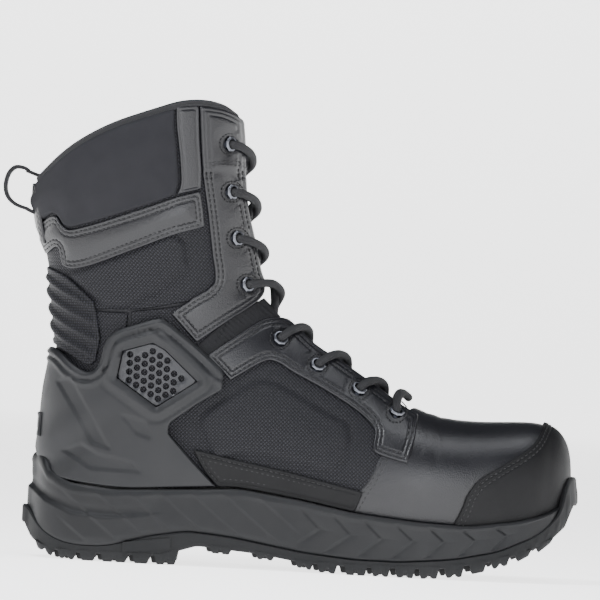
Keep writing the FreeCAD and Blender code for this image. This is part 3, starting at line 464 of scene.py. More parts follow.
def lattice(v, u, offsets, relief=None, edge=0.7):
    """A panel on a grid of places (n, m): both faces and the walls round its border."""
    n, m = v.shape
    point, normal = skin(v.ravel(), u.ravel())
    index = np.arange(n * m).reshape(n, m)
    rim = np.concatenate([index[0, :-1], index[:-1, -1], index[-1, :0:-1], index[:0:-1, 0]])
    dist = distance(point, point[rim])
    t = np.clip(dist / edge, 0, 1)
    top = offsets[1] - edge * (1 - np.sqrt(1 - (1 - t) ** 2))
    if relief is not None:
        top = top + relief(point, dist, v.ravel(), u.ravel())
    outer, inner = point + normal * top[:, None], point + normal * offsets[0]
    quads = np.stack([index[:-1, :-1], index[1:, :-1], index[1:, 1:], index[:-1, 1:]], -1).reshape(-1, 4)
    a, b, c = outer[quads[:, 0]], outer[quads[:, 1]], outer[quads[:, 2]]
    if np.sum(np.cross(b - a, c - a) * normal[quads[:, 0]]) < 0:
        quads = quads[:, ::-1]
        rim = rim[::-1]
    nxt = np.roll(rim, -1)
    walls = np.stack([nxt, rim, rim + n * m, nxt + n * m], 1)
    reach_v = np.concatenate([[0], np.cumsum(np.linalg.norm(np.diff(point.reshape(n, m, 3)[:, m // 2], axis=0), axis=1))])
    reach_u = np.concatenate([[0], np.cumsum(np.linalg.norm(np.diff(point.reshape(n, m, 3)[n // 2], axis=0), axis=1))])
    uv = np.stack(np.broadcast_arrays(reach_v[:, None], reach_u[None]), -1).reshape(-1, 2)
    return np.vstack([outer, inner]), [quads, quads[:, ::-1] + n * m, walls], np.vstack([uv, uv])


def shifted(v, u, r):
    """Places moved by r millimetres square to a line of places, to the left of its way,
    by one step with the surface's slopes."""
    p, n = skin(v, u)
    t = np.gradient(p, axis=0)
    d = np.cross(n, t)
    d /= np.linalg.norm(d, axis=1, keepdims=True)
    e = 0.01
    pv = (bare_skin(v + e, u) - bare_skin(v - e, u)) / (2 * e)
    pu = (bare_skin(v, u + e) - bare_skin(v, u - e)) / (2 * e)
    a, b, c = np.sum(pv * pv, 1), np.sum(pv * pu, 1), np.sum(pu * pu, 1)
    f, g = np.sum(pv * d, 1), np.sum(pu * d, 1)
    det = a * c - b * b
    return v + r * (c * f - b * g) / det, u + r * (a * g - b * f) / det


def seam(v, u, height, rows, body="boot", pitch=3.1):
    """Rows of stitches beside a line of places."""
    for r in rows:
        sv, su = shifted(v, u, r)
        p, n = skin(sv, su)
        both = even(np.hstack([p, n]), pitch * math.sqrt(1))
        p, n = both[:, :3], both[:, 3:]
        n = n / np.linalg.norm(n, axis=1, keepdims=True)
        p = p + n * (height - 0.22)
        STITCHES.setdefault(body, []).append((p[:-1], p[1:], n[:-1]))


# ---- materials ---------------------------------------------------------------------------
def linear(text):
    """A hex sRGB colour as linear RGBA."""
    c = [int(text[k:k + 2], 16) / 255 for k in (1, 3, 5)]
    return [*(x / 12.92 if x <= 0.04045 else ((x + 0.055) / 1.055) ** 2.4 for x in c), 1.0]


def add(tree, kind, settings=None, **links):
    """A node with its settings, its inputs set or linked by name. Names with a number
    such as _0 mean the input of that index."""
    node = tree.nodes.new(kind)
    for key, value in (settings or {}).items():
        setattr(node, key, value)
    for key, value in links.items():
        socket = node.inputs[int(key[1:])] if key[0] == "_" else node.inputs[key.replace("_", " ")]
        if isinstance(value, bpy.types.NodeSocket):
            tree.links.new(value, socket)
        else:
            socket.default_value = value
    return node


def surface(name, colour, rough, build, metallic=0.0, **more):
    """A material: a Principled shader whose colour, roughness and bump come from build,
    which returns a dictionary of sockets or values."""
    material = bpy.data.materials.new(name)
    material.use_nodes = True
    tree = material.node_tree
    shader = tree.nodes["Principled BSDF"]
    shader.inputs["Base Color"].default_value = linear(colour)
    shader.inputs["Roughness"].default_value = rough
    shader.inputs["Metallic"].default_value = metallic
    for key, value in more.items():
        shader.inputs[key.replace("_", " ")].default_value = value
    for key, value in build(tree).items():
        tree.links.new(value, shader.inputs[key])
    return material


def object_mm(tree):
    """Object coordinates in millimetres."""
    place = add(tree, "ShaderNodeTexCoord").outputs["Object"]
    return add(tree, "ShaderNodeVectorMath", {"operation": "SCALE"}, _0=place, Scale=1000.0).outputs[0]


def chart_mm(tree):
    """The chart coordinates kept in the UV map, in millimetres."""
    return add(tree, "ShaderNodeUVMap", {"uv_map": "UVMap"}).outputs[0]


def bump(tree, height, distance_mm, strength=1.0, below=None):
    """A bump of a height map, distance in millimetres at height one."""
    more = {} if below is None else {"Normal": below}
    return add(tree, "ShaderNodeBump", None, Strength=strength, Distance=distance_mm * MM, Height=height, **more).outputs[0]


def math_node(tree, operation, a, b=0.0, c=0.0):
    return add(tree, "ShaderNodeMath", {"operation": operation}, _0=a, _1=b, _2=c).outputs[0]


def spread(tree, value, low, high, to_low, to_high):
    """A value mapped from one range to another, held at its ends."""
    return add(tree, "ShaderNodeMapRange", {"clamp": True}, Value=value, From_Min=low, From_Max=high,
               To_Min=to_low, To_Max=to_high).outputs[0]


def tones(tree, factor, dark, light):
    """A colour between two hex colours."""
    node = add(tree, "ShaderNodeMix", {"data_type": "RGBA"}, _0=factor, _6=linear(dark), _7=linear(light))
    return node.outputs[2]


def noise(tree, place, scale, detail=3.0):
    return add(tree, "ShaderNodeTexNoise", None, Vector=place, Scale=scale, Detail=detail).outputs[0]


def cells(tree, place, scale, feature="F1"):
    return add(tree, "ShaderNodeTexVoronoi", {"feature": feature}, Vector=place, Scale=scale).outputs["Distance"]


def grain(dark, light, rough=(0.36, 0.5), cell=0.9, depth=0.09):
    """Corrected grain: an even finish coat over a printed pebble, that gives the eye wide
    soft highlights with a fine sparkle; colour and gloss wander slowly."""
    def build(tree):
        place = object_mm(tree)
        slow = noise(tree, place, 0.03, 4.0)
        pebble = cells(tree, place, 1 / cell)
        fine = noise(tree, place, 2.2, 5.0)
        height = math_node(tree, "ADD", pebble, math_node(tree, "MULTIPLY", fine, 0.6))
        return {"Base Color": tones(tree, slow, dark, light),
                "Roughness": spread(tree, slow, 0.3, 0.7, *rough),
                "Normal": bump(tree, height, depth)}
    return build


def weave(dark, light, pitch=1.5, turn=45.0, depth=0.3):
    """Ballistic nylon in a basket weave: shiny square yarn floats with a painted highlight on them and
    painted shade in the gaps between them, a regular lattice of dots at the given pitch."""
    def build(tree):
        place = add(tree, "ShaderNodeMapping", None, Vector=chart_mm(tree), Rotation=(0, 0, math.radians(turn))).outputs[0]
        parts = add(tree, "ShaderNodeSeparateXYZ", None, Vector=place)
        waves = [math_node(tree, "SINE", math_node(tree, "MULTIPLY", parts.outputs[k], math.pi / pitch)) for k in (0, 1)]
        a, b = (math_node(tree, "ABSOLUTE", w) for w in waves)
        dots = math_node(tree, "MULTIPLY", a, b)
        checker = math_node(tree, "MULTIPLY", *waves)
        height = math_node(tree, "ADD", dots, math_node(tree, "MULTIPLY", checker, 0.2))
        # the colour follows the floats: a painted highlight on each float and painted shade in the gaps
        return {"Base Color": tones(tree, spread(tree, dots, 0.15, 0.75, 0, 1), dark, light),
                "Roughness": spread(tree, checker, -1, 1, 0.5, 0.7),
                "Normal": bump(tree, height, depth)}
    return build


def knit(dark, light, pitch=0.5, depth=0.12):
    """A fine knitted face: small loops in rows, soft and dull."""
    def build(tree):
        place = object_mm(tree)
        loops = cells(tree, place, 1 / pitch)
        cloud = noise(tree, place, 0.08, 3.0)
        return {"Base Color": tones(tree, cloud, dark, light), "Normal": bump(tree, loops, depth)}
    return build


def speckled(dark, light, scale=0.6, depth=0.06, rough=(0.6, 0.75)):
    """A moulded or cast face: faint flow marks and a sand-blasted mould's fine texture."""
    def build(tree):
        place = object_mm(tree)
        cloud = noise(tree, place, 0.05, 3.0)
        sand = noise(tree, place, scale * 3, 6.0)
        return {"Base Color": tones(tree, cloud, dark, light), "Roughness": spread(tree, cloud, 0.3, 0.7, *rough),
                "Normal": bump(tree, sand, depth)}
    return build


def ribbed(dark, light, pitch=0.9, depth=0.25):
    """Narrow woven tape: ribs across its length with a finer twill over them."""
    def build(tree):
        parts = add(tree, "ShaderNodeSeparateXYZ", None, Vector=chart_mm(tree))
        along, across = (math_node(tree, "MULTIPLY", parts.outputs[k], math.pi / p) for k, p in ((0, pitch), (1, 1.4)))
        ribs = math_node(tree, "ABSOLUTE", math_node(tree, "SINE", along))
        twill = math_node(tree, "ABSOLUTE", math_node(tree, "SINE", math_node(tree, "ADD", along, across)))
        height = math_node(tree, "ADD", ribs, twill)
        # the colour follows the height: a painted highlight on the ribs and painted shade in the troughs
        return {"Base Color": tones(tree, spread(tree, height, 0.2, 1.6, 0, 1), dark, light), "Normal": bump(tree, height, depth)}
    return build


def braid(dark, light, pitch=1.9, around=0.94, depth=0.35):
    """A round braid: strands that cross at an angle both ways round, plump between the
    crossings. around is the strands' spacing round the lace in millimetres."""
    def build(tree):
        parts = add(tree, "ShaderNodeSeparateXYZ", None, Vector=chart_mm(tree))
        a = math_node(tree, "MULTIPLY", parts.outputs[0], math.pi / pitch)
        b = math_node(tree, "MULTIPLY", parts.outputs[1], math.pi / around)
        left = math_node(tree, "ABSOLUTE", math_node(tree, "SINE", math_node(tree, "ADD", a, b)))
        right = math_node(tree, "ABSOLUTE", math_node(tree, "SINE", math_node(tree, "SUBTRACT", a, b)))
        height = math_node(tree, "MULTIPLY", left, right)
        # the colour follows the height: a painted highlight on the strands' crowns and painted shade between them
        return {"Base Color": tones(tree, spread(tree, height, 0, 0.7, 0, 1), dark, light), "Normal": bump(tree, height, depth)}
    return build


def worn_metal(dark, light, rough=(0.28, 0.42)):
    """Stamped metal: faint scratches and a finish that is uneven by a few percent."""
    def build(tree):
        place = object_mm(tree)
        cloud = noise(tree, place, 0.6, 4.0)
        return {"Base Color": tones(tree, cloud, dark, light), "Roughness": spread(tree, cloud, 0.3, 0.7, *rough),
                "Normal": bump(tree, noise(tree, place, 3.0, 4.0), 0.02)}
    return build


M = {
    # waxed full-cover leather of the vamp, eyestays and collar band: wide soft highlights
    "leather": surface("corrected-grain leather", "#0e0e12", 0.36, grain("#0b0b0f", "#121217", (0.30, 0.42))),
    # the toe guard is a polyurethane-coated leather, duller and finer
    "coated": surface("coated abrasion leather", "#08080a", 0.6, grain("#060608", "#0b0b0d", (0.55, 0.66), 0.7, 0.06), Specular_IOR_Level=0.25),
    # square yarn floats with a painted highlight over painted shade in the gaps
    "nylon": surface("ballistic nylon", "#141418", 0.6, weave("#010102", "#222228"), Specular_IOR_Level=0.25),
    "nylon_upright": surface("ballistic nylon, straight", "#141418", 0.6, weave("#010102", "#202026", 1.5, 0.0), Specular_IOR_Level=0.25),
    # matte, even, without a sheen
    "neoprene": surface("neoprene laminate", "#1a1a1d", 0.85, knit("#17171b", "#202024", 0.45, 0.05), Specular_IOR_Level=0.3),
    # satin, as it leaves a blasted mould
    "tpu": surface("moulded TPU", "#191a1e", 0.5, speckled("#0e0f12", "#16171a", 0.6, 0.05, (0.48, 0.6)), Specular_IOR_Level=0.4),
    "grille": surface("moulded TPU grille", "#1b1c21", 0.4, speckled("#17181c", "#222328", 0.6, 0.03, (0.36, 0.46))),
    # dull and slightly dusty
    "rubber": surface("nitrile rubber", "#151619", 0.7, speckled("#0a0b0d", "#111214", 0.5, 0.08, (0.62, 0.74)), Specular_IOR_Level=0.3),
    "foam_sole": surface("polyurethane midsole", "#17181b", 0.6, speckled("#0a0b0d", "#121316", 0.7, 0.06, (0.5, 0.64)), Specular_IOR_Level=0.35),
    # waxed thread, a fine glint on each stitch
    "thread": surface("bonded polyester thread", "#0a0a0c", 0.5, knit("#070709", "#0f0f12", 0.3, 0.04)),
    # crossing strands with a painted highlight on their crowns and painted shade between them
    "lace": surface("braided polyester lace", "#131316", 0.75, braid("#060608", "#1f1f23")),
    # ribbed tape with a painted highlight on its ribs and painted shade in the troughs
    "webbing": surface("nylon webbing", "#121215", 0.7, ribbed("#08080a", "#1f1f23")),
    # dark mirror-like plate that shows as a bright ring against the leather
    "gunmetal": surface("gunmetal plate on brass", "#6a6c72", 0.3, worn_metal("#585a60", "#7c7e85"), 1.0),
    # open knit, dull with dark holes
    "mesh_lining": surface("spacer mesh lining", "#121214", 0.85, knit("#0c0c0e", "#1a1a1d", 1.4, 0.3)),
    # woven nylon with a painted highlight on the floats and painted shade in the gaps
    "tongue": surface("padded tongue nylon", "#131316", 0.7, weave("#0a0a0c", "#1e1e22", 0.8, 0.0, 0.12)),
    "stretch": surface("stretch gusset fabric", "#0f0f12", 0.8, knit("#0b0b0e", "#141417", 0.6, 0.08), Specular_IOR_Level=0.3),
    # fine ribs with a painted highlight on their crowns and painted shade between them
    "label": surface("woven label", "#1a1a1d", 0.8, ribbed("#141417", "#202024", 0.5, 0.06)),
    "foam": surface("open-cell foam", "#222225", 0.95, knit("#1b1b1e", "#2a2a2d", 1.1, 0.3)),
    # grey crystalline phosphate, between metal and stone
    "steel": surface("phosphated steel", "#5a5c5e", 0.5, worn_metal("#4c4e50", "#66686a", (0.45, 0.6)), 1.0),
    "edge": surface("rubber edge strip", "#131315", 0.75, speckled("#101012", "#18181b")),
    # brown pressed fibre with a rough, blotchy face
    "board": surface("pressed counter board", "#6b5238", 0.85, speckled("#5d4630", "#7a6044", 0.3, 0.15, (0.8, 0.9))),
    "fibre": surface("non-woven insole fibre", "#4a4a4a", 0.9, knit("#3e3e3e", "#585858", 0.8, 0.2)),
    "footbed": surface("footbed foam with mesh face", "#1a1a1c", 0.9, knit("#141416", "#232326", 1.0, 0.2)),
}


def place(piece, body, slot, *nodes):
    """Put a finished piece in the frame."""
    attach(piece, body)
    if nodes:
        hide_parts(*nodes)
    return piece


def panel(name, loop, chart, offsets, material, slot, nodes, body="boot", **more):
    """A cut panel as an object, on its body, in place of its CAD nodes."""
    points, faces, uv = sheet(loop, chart, offsets, **more)
    piece = make_mesh(name, points, faces, M[material], uv)
    sharpen(piece, 50)
    return place(piece, body, slot, *nodes)


# ---- the upper -------------------------------------------------------------------------
EYELETS = [(-40.0, 239.5), (-37.5, 212.5), (-33.0, 186.5), (-26.0, 160.5),
           (-5.5, 130.5), (16.5, 116.5), (40.5, 104.0), (62.5, 92.0)]
COLLAR_LINE = [(-147.0, 215.5), (-134.0, 229.0), (-121.0, 239.0), (-103.5, 248.5), (-80.0, 257.5),
               (-66.0, 262.0), (-54.0, 263.0), (-44.0, 261.0), (-36.5, 256.5)]
WINDOW = [(-93.5, 119.5), (-77.0, 125.0), (-70.0, 121.5), (-50.5, 104.0), (-73.0, 88.5), (-96.0, 104.0)]
SIDES = (("L", -1), ("M", 1))


def raised(points, dz):
    """The same outline, moved up."""
    return [(x, z + dz) for x, z in points]


def hexagon(centre, r, n=12):
    """A round hole in a chart."""
    a = np.linspace(0, 2 * math.pi, n, endpoint=False)
    return np.stack([centre[0] + r * np.cos(a), centre[1] + r * np.sin(a)], 1)


def hill(x, centre, width):
    """A smooth bump of height one."""
    return np.exp(-((x - centre) / width) ** 2)


def step_up(x, start, end):
    """Smoothly from 0 at start to 1 at end."""
    t = np.clip((x - start) / (end - start), 0, 1)
    return t * t * (3 - 2 * t)


def puffed(dist, edge_rows, height=1.0, reach=9.0):
    """Stitched rows near the edge, and padding that swells up beyond them."""
    last = max(edge_rows) if edge_rows else 0
    return groove(dist, edge_rows) + height * step_up(dist, last + 0.3, last + reach)


def upper():
    """Vamp, toe guard, quarters, eyestays and collar, sewn in that order."""
    # vamp: one piece over the toes, from the tip to the rear seam
    u = np.linspace(-1.99, 1.99, 150)
    rear = np.interp(np.abs(u), [0, 0.6, 1.2, 1.99], [6.55, 6.9, 7.05, 7.12])
    t = np.concatenate([np.linspace(0, 0.96, 110, endpoint=False), np.linspace(0.96, 1, 16)])[:, None]
    v = 0.2 + (rear[None] - 0.2) * t

    def crease(p, dist, vv, uu):
        flat_top = step_up(1.0 - np.abs(uu), 0, 0.6)
        return 0.25 * step_up(vv, 5.5, 6.8) - flat_top * (0.35 * hill(vv, 5.9, 0.09) + 0.25 * hill(vv, 6.25, 0.08))
    points, faces, uv = lattice(v, np.broadcast_to(u, v.shape), BASE, crease)
    place(make_mesh("Vamp_leather", points, faces, M["leather"], uv), "boot", "corrected_leather", "vamp")
    for side in (-1, 1):
        u = side * np.linspace(0.55, 1.95, 60)
        rear = np.interp(np.abs(u), [0, 0.6, 1.2, 1.99], [6.55, 6.9, 7.05, 7.12])
        r = 2.0 if shifted(rear, u, 1.0)[0][30] < rear[30] else -2.0
        seam(rear, u, 0.25, (r, 2.1 * r))

    # toe guard: over the toe cap, with a double row along its rear edge
    line = np.array([(98.0, 31.2), (102.5, 41.0), (105.0, 48.5), (111.5, 57.5), (122.0, 64.5), (139.5, 76.5), (147.0, 88.5)])
    lv, lu = spot(*through(line, 2.0).T, -1)
    order = np.argsort(lu)
    u = np.linspace(-1.99, 1.99, 190)
    rear = np.interp(-np.abs(u), lu[order], lv[order])
    t = np.concatenate([np.linspace(0, 0.9, 50, endpoint=False), np.linspace(0.9, 1, 14)])[:, None]
    v = 0.2 + (rear[None] - 0.2) * t
    edge_p, _ = skin(rear, u)

    def double_row(p, dist, vv, uu):
        return groove(distance(p, edge_p, False), (2.2, 4.6))
    points, faces, uv = lattice(v, np.broadcast_to(u, v.shape), (0.1, 1.8), double_row)
    place(make_mesh("Toe_guard", points, faces, M["coated"], uv), "boot", "corrected_leather", "toe_guard")
    seam(rear, u, 1.8, (-2.2, -4.6) if shifted(rear, u, 2.0)[0][95] > rear[95] else (2.2, 4.6))

    for letter, side in SIDES:
        chart = side_chart(side)
        # quarter: nylon over foam, with an embossed contour inside its border
        loop = outline([(-90.0, 42.4), (-60.0, 43.3), (-23.5, 45.2), (10.0, 40.7), (43.0, 34.9)],
                       [(43.0, 34.9), (55.0, 60.0), (62.0, 87.0)],
                       [(62.0, 87.0), (40.0, 96.0), (20.0, 107.5), (0.0, 120.5), (-22.0, 134.0), (-36.0, 144.0),
                        (-50.0, 149.0), (-70.0, 145.0), (-90.0, 142.0)],
                       [(-90.0, 142.0), (-90.0, 92.0), (-90.0, 42.4)], step=2.0)
        inner = outline([(-38.0, 62.0), (-20.0, 66.5), (1.0, 64.0), (28.0, 58.0)], [(28.0, 58.0), (36.0, 72.0), (34.5, 84.0)],
                        [(34.5, 84.0), (18.0, 92.0), (-4.0, 103.5), (-17.0, 105.0), (-31.0, 96.0)],
                        [(-31.0, 96.0), (-46.0, 84.0), (-44.0, 74.0), (-38.0, 62.0)], step=2.0)

        def embossed(p, dist, ring=inner):
            gap = distance(p, ring) * np.where(inside(p, ring), 1, -1)
            return 1.5 * step_up(gap, -2.0, 2.2) - 0.6 * hill(gap, -2.2, 1.2) + 0.5 * step_up(gap, 3, 14)
        panel(f"Quarter_{letter}", loop, chart, (-1.8, -0.3), "nylon", "ballistic_nylon", [f"quarter_{letter}"],
              relief=embossed, grid=1.7, rings=(0.4, 1.0, 1.8))

        # lower rand: coated strip between quarter and midsole
        loop = outline([(-36.0, 45.6), (-22.0, 45.6), (10.0, 41.2), (30.0, 37.6), (41.8, 35.6)],
                       [(41.8, 35.6), (44.0, 41.0), (46.0, 47.0)],
                       [(46.0, 47.0), (24.0, 51.7), (1.0, 56.5), (-25.0, 61.0), (-51.0, 66.0)],
                       [(-51.0, 66.0), (-44.0, 54.0), (-36.0, 45.6)])
        panel(f"Side_rand_{letter}", loop, chart, OVERLAY, "coated", "corrected_leather", [f"side_rand_{letter}"],
              relief=lambda p, d: groove(d, (2.0,)))
        stitch(loop, chart, 1.6, (2.0, 4.2), skip=lambda q: q[:, 1] < 48 + 0 * q[:, 0])

        # lower eyestay: rounded tab at the back, wing down to the midfoot at the front
        holes = [hexagon(c, 3.4) for c in EYELETS[4:]]
        loop = outline([(-46.0, 119.0), (-40.0, 113.5), (-32.0, 106.0)],
                       [(-32.0, 106.0), (-14.5, 117.0), (-6.5, 117.5), (3.5, 112.0), (20.0, 104.0), (37.0, 94.5),
                        (47.5, 86.5), (51.0, 80.5), (50.5, 74.0), (52.0, 69.5), (61.0, 66.5), (70.0, 64.5)],
                       [(70.0, 64.5), (73.5, 77.0), (75.0, 91.0)],
                       [(75.0, 91.0), (67.0, 95.0), (58.0, 101.0), (44.5, 109.8), (30.0, 118.8), (14.5, 128.0),
                        (1.0, 139.5), (-4.0, 142.0), (-10.5, 142.0), (-18.0, 139.5), (-32.0, 129.5), (-46.0, 119.0)], step=1.0)
        panel(f"Lower_eyestay_{letter}", loop, chart, OVERLAY, "leather", "corrected_leather", [f"lower_eyestay_{letter}"],
              relief=lambda p, d: groove(d, (2.0, 4.2)), holes=holes, grid=2.2)
        near = lambda q: np.min([np.hypot(*(q - c).T) for c in EYELETS], 0) < 7.6
        stitch(loop, chart, 1.6, (2.0, 4.2), skip=near)

        # upper eyestay, with the seam of its top patch
        holes = [hexagon(c, 3.4) for c in EYELETS[:4]]
        back = [(-67.5, 142.0), (-56.5, 150.5), (-44.5, 160.5), (-46.5, 178.5), (-50.0, 200.0), (-54.5, 225.5), (-58.0, 259.8)]
        front = [(-52.5, 126.5), (-36.0, 139.0), (-19.0, 152.0), (-16.4, 161.0), (-19.0, 169.0), (-23.0, 185.0),
                 (-27.4, 201.0), (-29.6, 214.0), (-31.6, 237.5), (-33.5, 253.5)]
        loop = outline([(-67.5, 142.0), (-60.0, 134.3), (-52.5, 126.5)], front,
                       [(-33.5, 253.5), (-38.0, 256.2), (-46.0, 258.8), (-58.0, 259.8)], back[::-1], step=1.0)
        patch = through([(-54.0, 224.0), (-43.0, 225.5), (-30.0, 225.5)], 1.0)

        def stay(p, d, patch=patch):
            across = distance(p, patch, False)
            above = step_up(p[:, 1] - np.interp(p[:, 0], patch[:, 0], patch[:, 1]), -0.4, 0.2)
            return groove(d, (2.0, 4.4)) + 0.7 * above * step_up(d, 0, 1) - 0.35 * hill(across, 2.0, 0.5) - 0.35 * hill(across, 4.0, 0.5)
        panel(f"Upper_eyestay_{letter}", loop, chart, OVERLAY, "leather", "corrected_leather", [f"upper_eyestay_{letter}"],
              relief=stay, holes=holes, grid=1.8)
        stitch(loop, chart, 1.7, (2.0, 4.4), skip=lambda q: near(q))
        for dz in (2.0, 4.0):
            v, u = chart(raised_line(patch[4:-4], dz))
            seam(v, u, 2.3, (0.0,))
        for c in EYELETS:
            ring = np.array([(c[0] + 6.2 * math.cos(a), c[1] + 6.2 * math.sin(a)) for a in np.radians(np.arange(22.5, 405, 45))])
            v, u = chart(np.vstack([even(ring[k:k + 2], 0.6)[:-1] for k in range(8)] + [ring[-1:]]))
            seam(v, u, 1.75, (0.0,), pitch=2.37)

        # leather strip at the collar's front
        loop = outline([(-67.8, 209.5), (-55.2, 213.0)], [(-54.6, 213.0), (-55.2, 225.5), (-56.9, 240.0), (-58.4, 260.0)],
                       [(-58.4, 260.0), (-70.9, 258.4)], [(-70.9, 258.4), (-70.0, 247.5), (-67.5, 231.5), (-66.0, 216.5), (-67.8, 209.5)])
        panel(f"Collar_strip_{letter}", loop, chart, OVERLAY, "leather", "corrected_leather", [f"collar_strip_{letter}"],
              relief=lambda p, d: groove(d, (1.8,)))

        # rolled binding over the collar's edge
        v, u = chart(through(COLLAR_LINE, 1.5))
        p, n = skin(v, u)
        up = np.cross(np.gradient(p, axis=0), n)
        up *= np.sign(up[:, 2:]) / np.linalg.norm(up, axis=1, keepdims=True)
        piece = swept(f"Collar_binding_{letter}", p - n * 1.9 - up * 1.5, stadium(6.8, 4.2, 1.6), up, M["webbing"])
        place(piece, "boot", "neoprene", f"collar_binding_{letter}")

        # stretch fabric between the two eyestays
        loop = outline([(-56.0, 121.0), (-34.0, 141.5), (-15.5, 153.5)], [(-15.5, 153.5), (-9.5, 148.0), (-5.0, 142.0)],
                       [(-5.0, 142.0), (-22.0, 133.0), (-46.0, 113.0)], [(-46.0, 113.0), (-56.0, 121.0)])
        panel(f"Flex_panel_{letter}", loop, chart, (-0.6, 0.35), "stretch", "lining_mesh", [],
              relief=lambda p, d: 0.35 * np.sin((p[:, 0] * 0.8 + p[:, 1]) * 2 * math.pi / 3.2), grid=1.2)


def raised_line(line, dz):
    """A polyline moved up."""
    return line + np.array([0, dz])


def wrap_loop(bottom, top, front=(), step=1.2):
    """The closed outline round the heel of bottom and top curves from the back forwards."""
    b, t = through(bottom, step), through(top, step)
    sharp = [b[-1:], np.array(front, float).reshape(-1, 2), t[-1:]]
    side = np.vstack([b, *(even(np.vstack([x[-1:], y[:1]]), step)[1:-1] if False else y for x, y in zip(sharp, sharp[1:])), t[::-1][1:]])
    side = np.vstack([b, even(np.vstack(sharp), step)[1:-1], t[::-1]])
    right = wrapped(side, 1)
    left = wrapped(side, -1)[::-1]
    loop = np.vstack([right, left])
    keep = np.concatenate([[True], np.linalg.norm(np.diff(loop, axis=0), axis=1) > 0.05])
    loop = loop[keep]
    if np.linalg.norm(loop[0] - loop[-1]) < 0.05:
        loop = loop[:-1]
    area = np.sum(loop[:, 0] * np.roll(loop[:, 1], -1) - np.roll(loop[:, 0], -1) * loop[:, 1])
    return loop if area > 0 else loop[::-1]


def contour(points, step=1.5):
    """Closed polygons of side-view points on both sides of the wrap chart."""
    loop = even(np.vstack([points, points[:1]]), step)[:-1]
    return [wrapped(loop, 1), wrapped(loop, -1)]


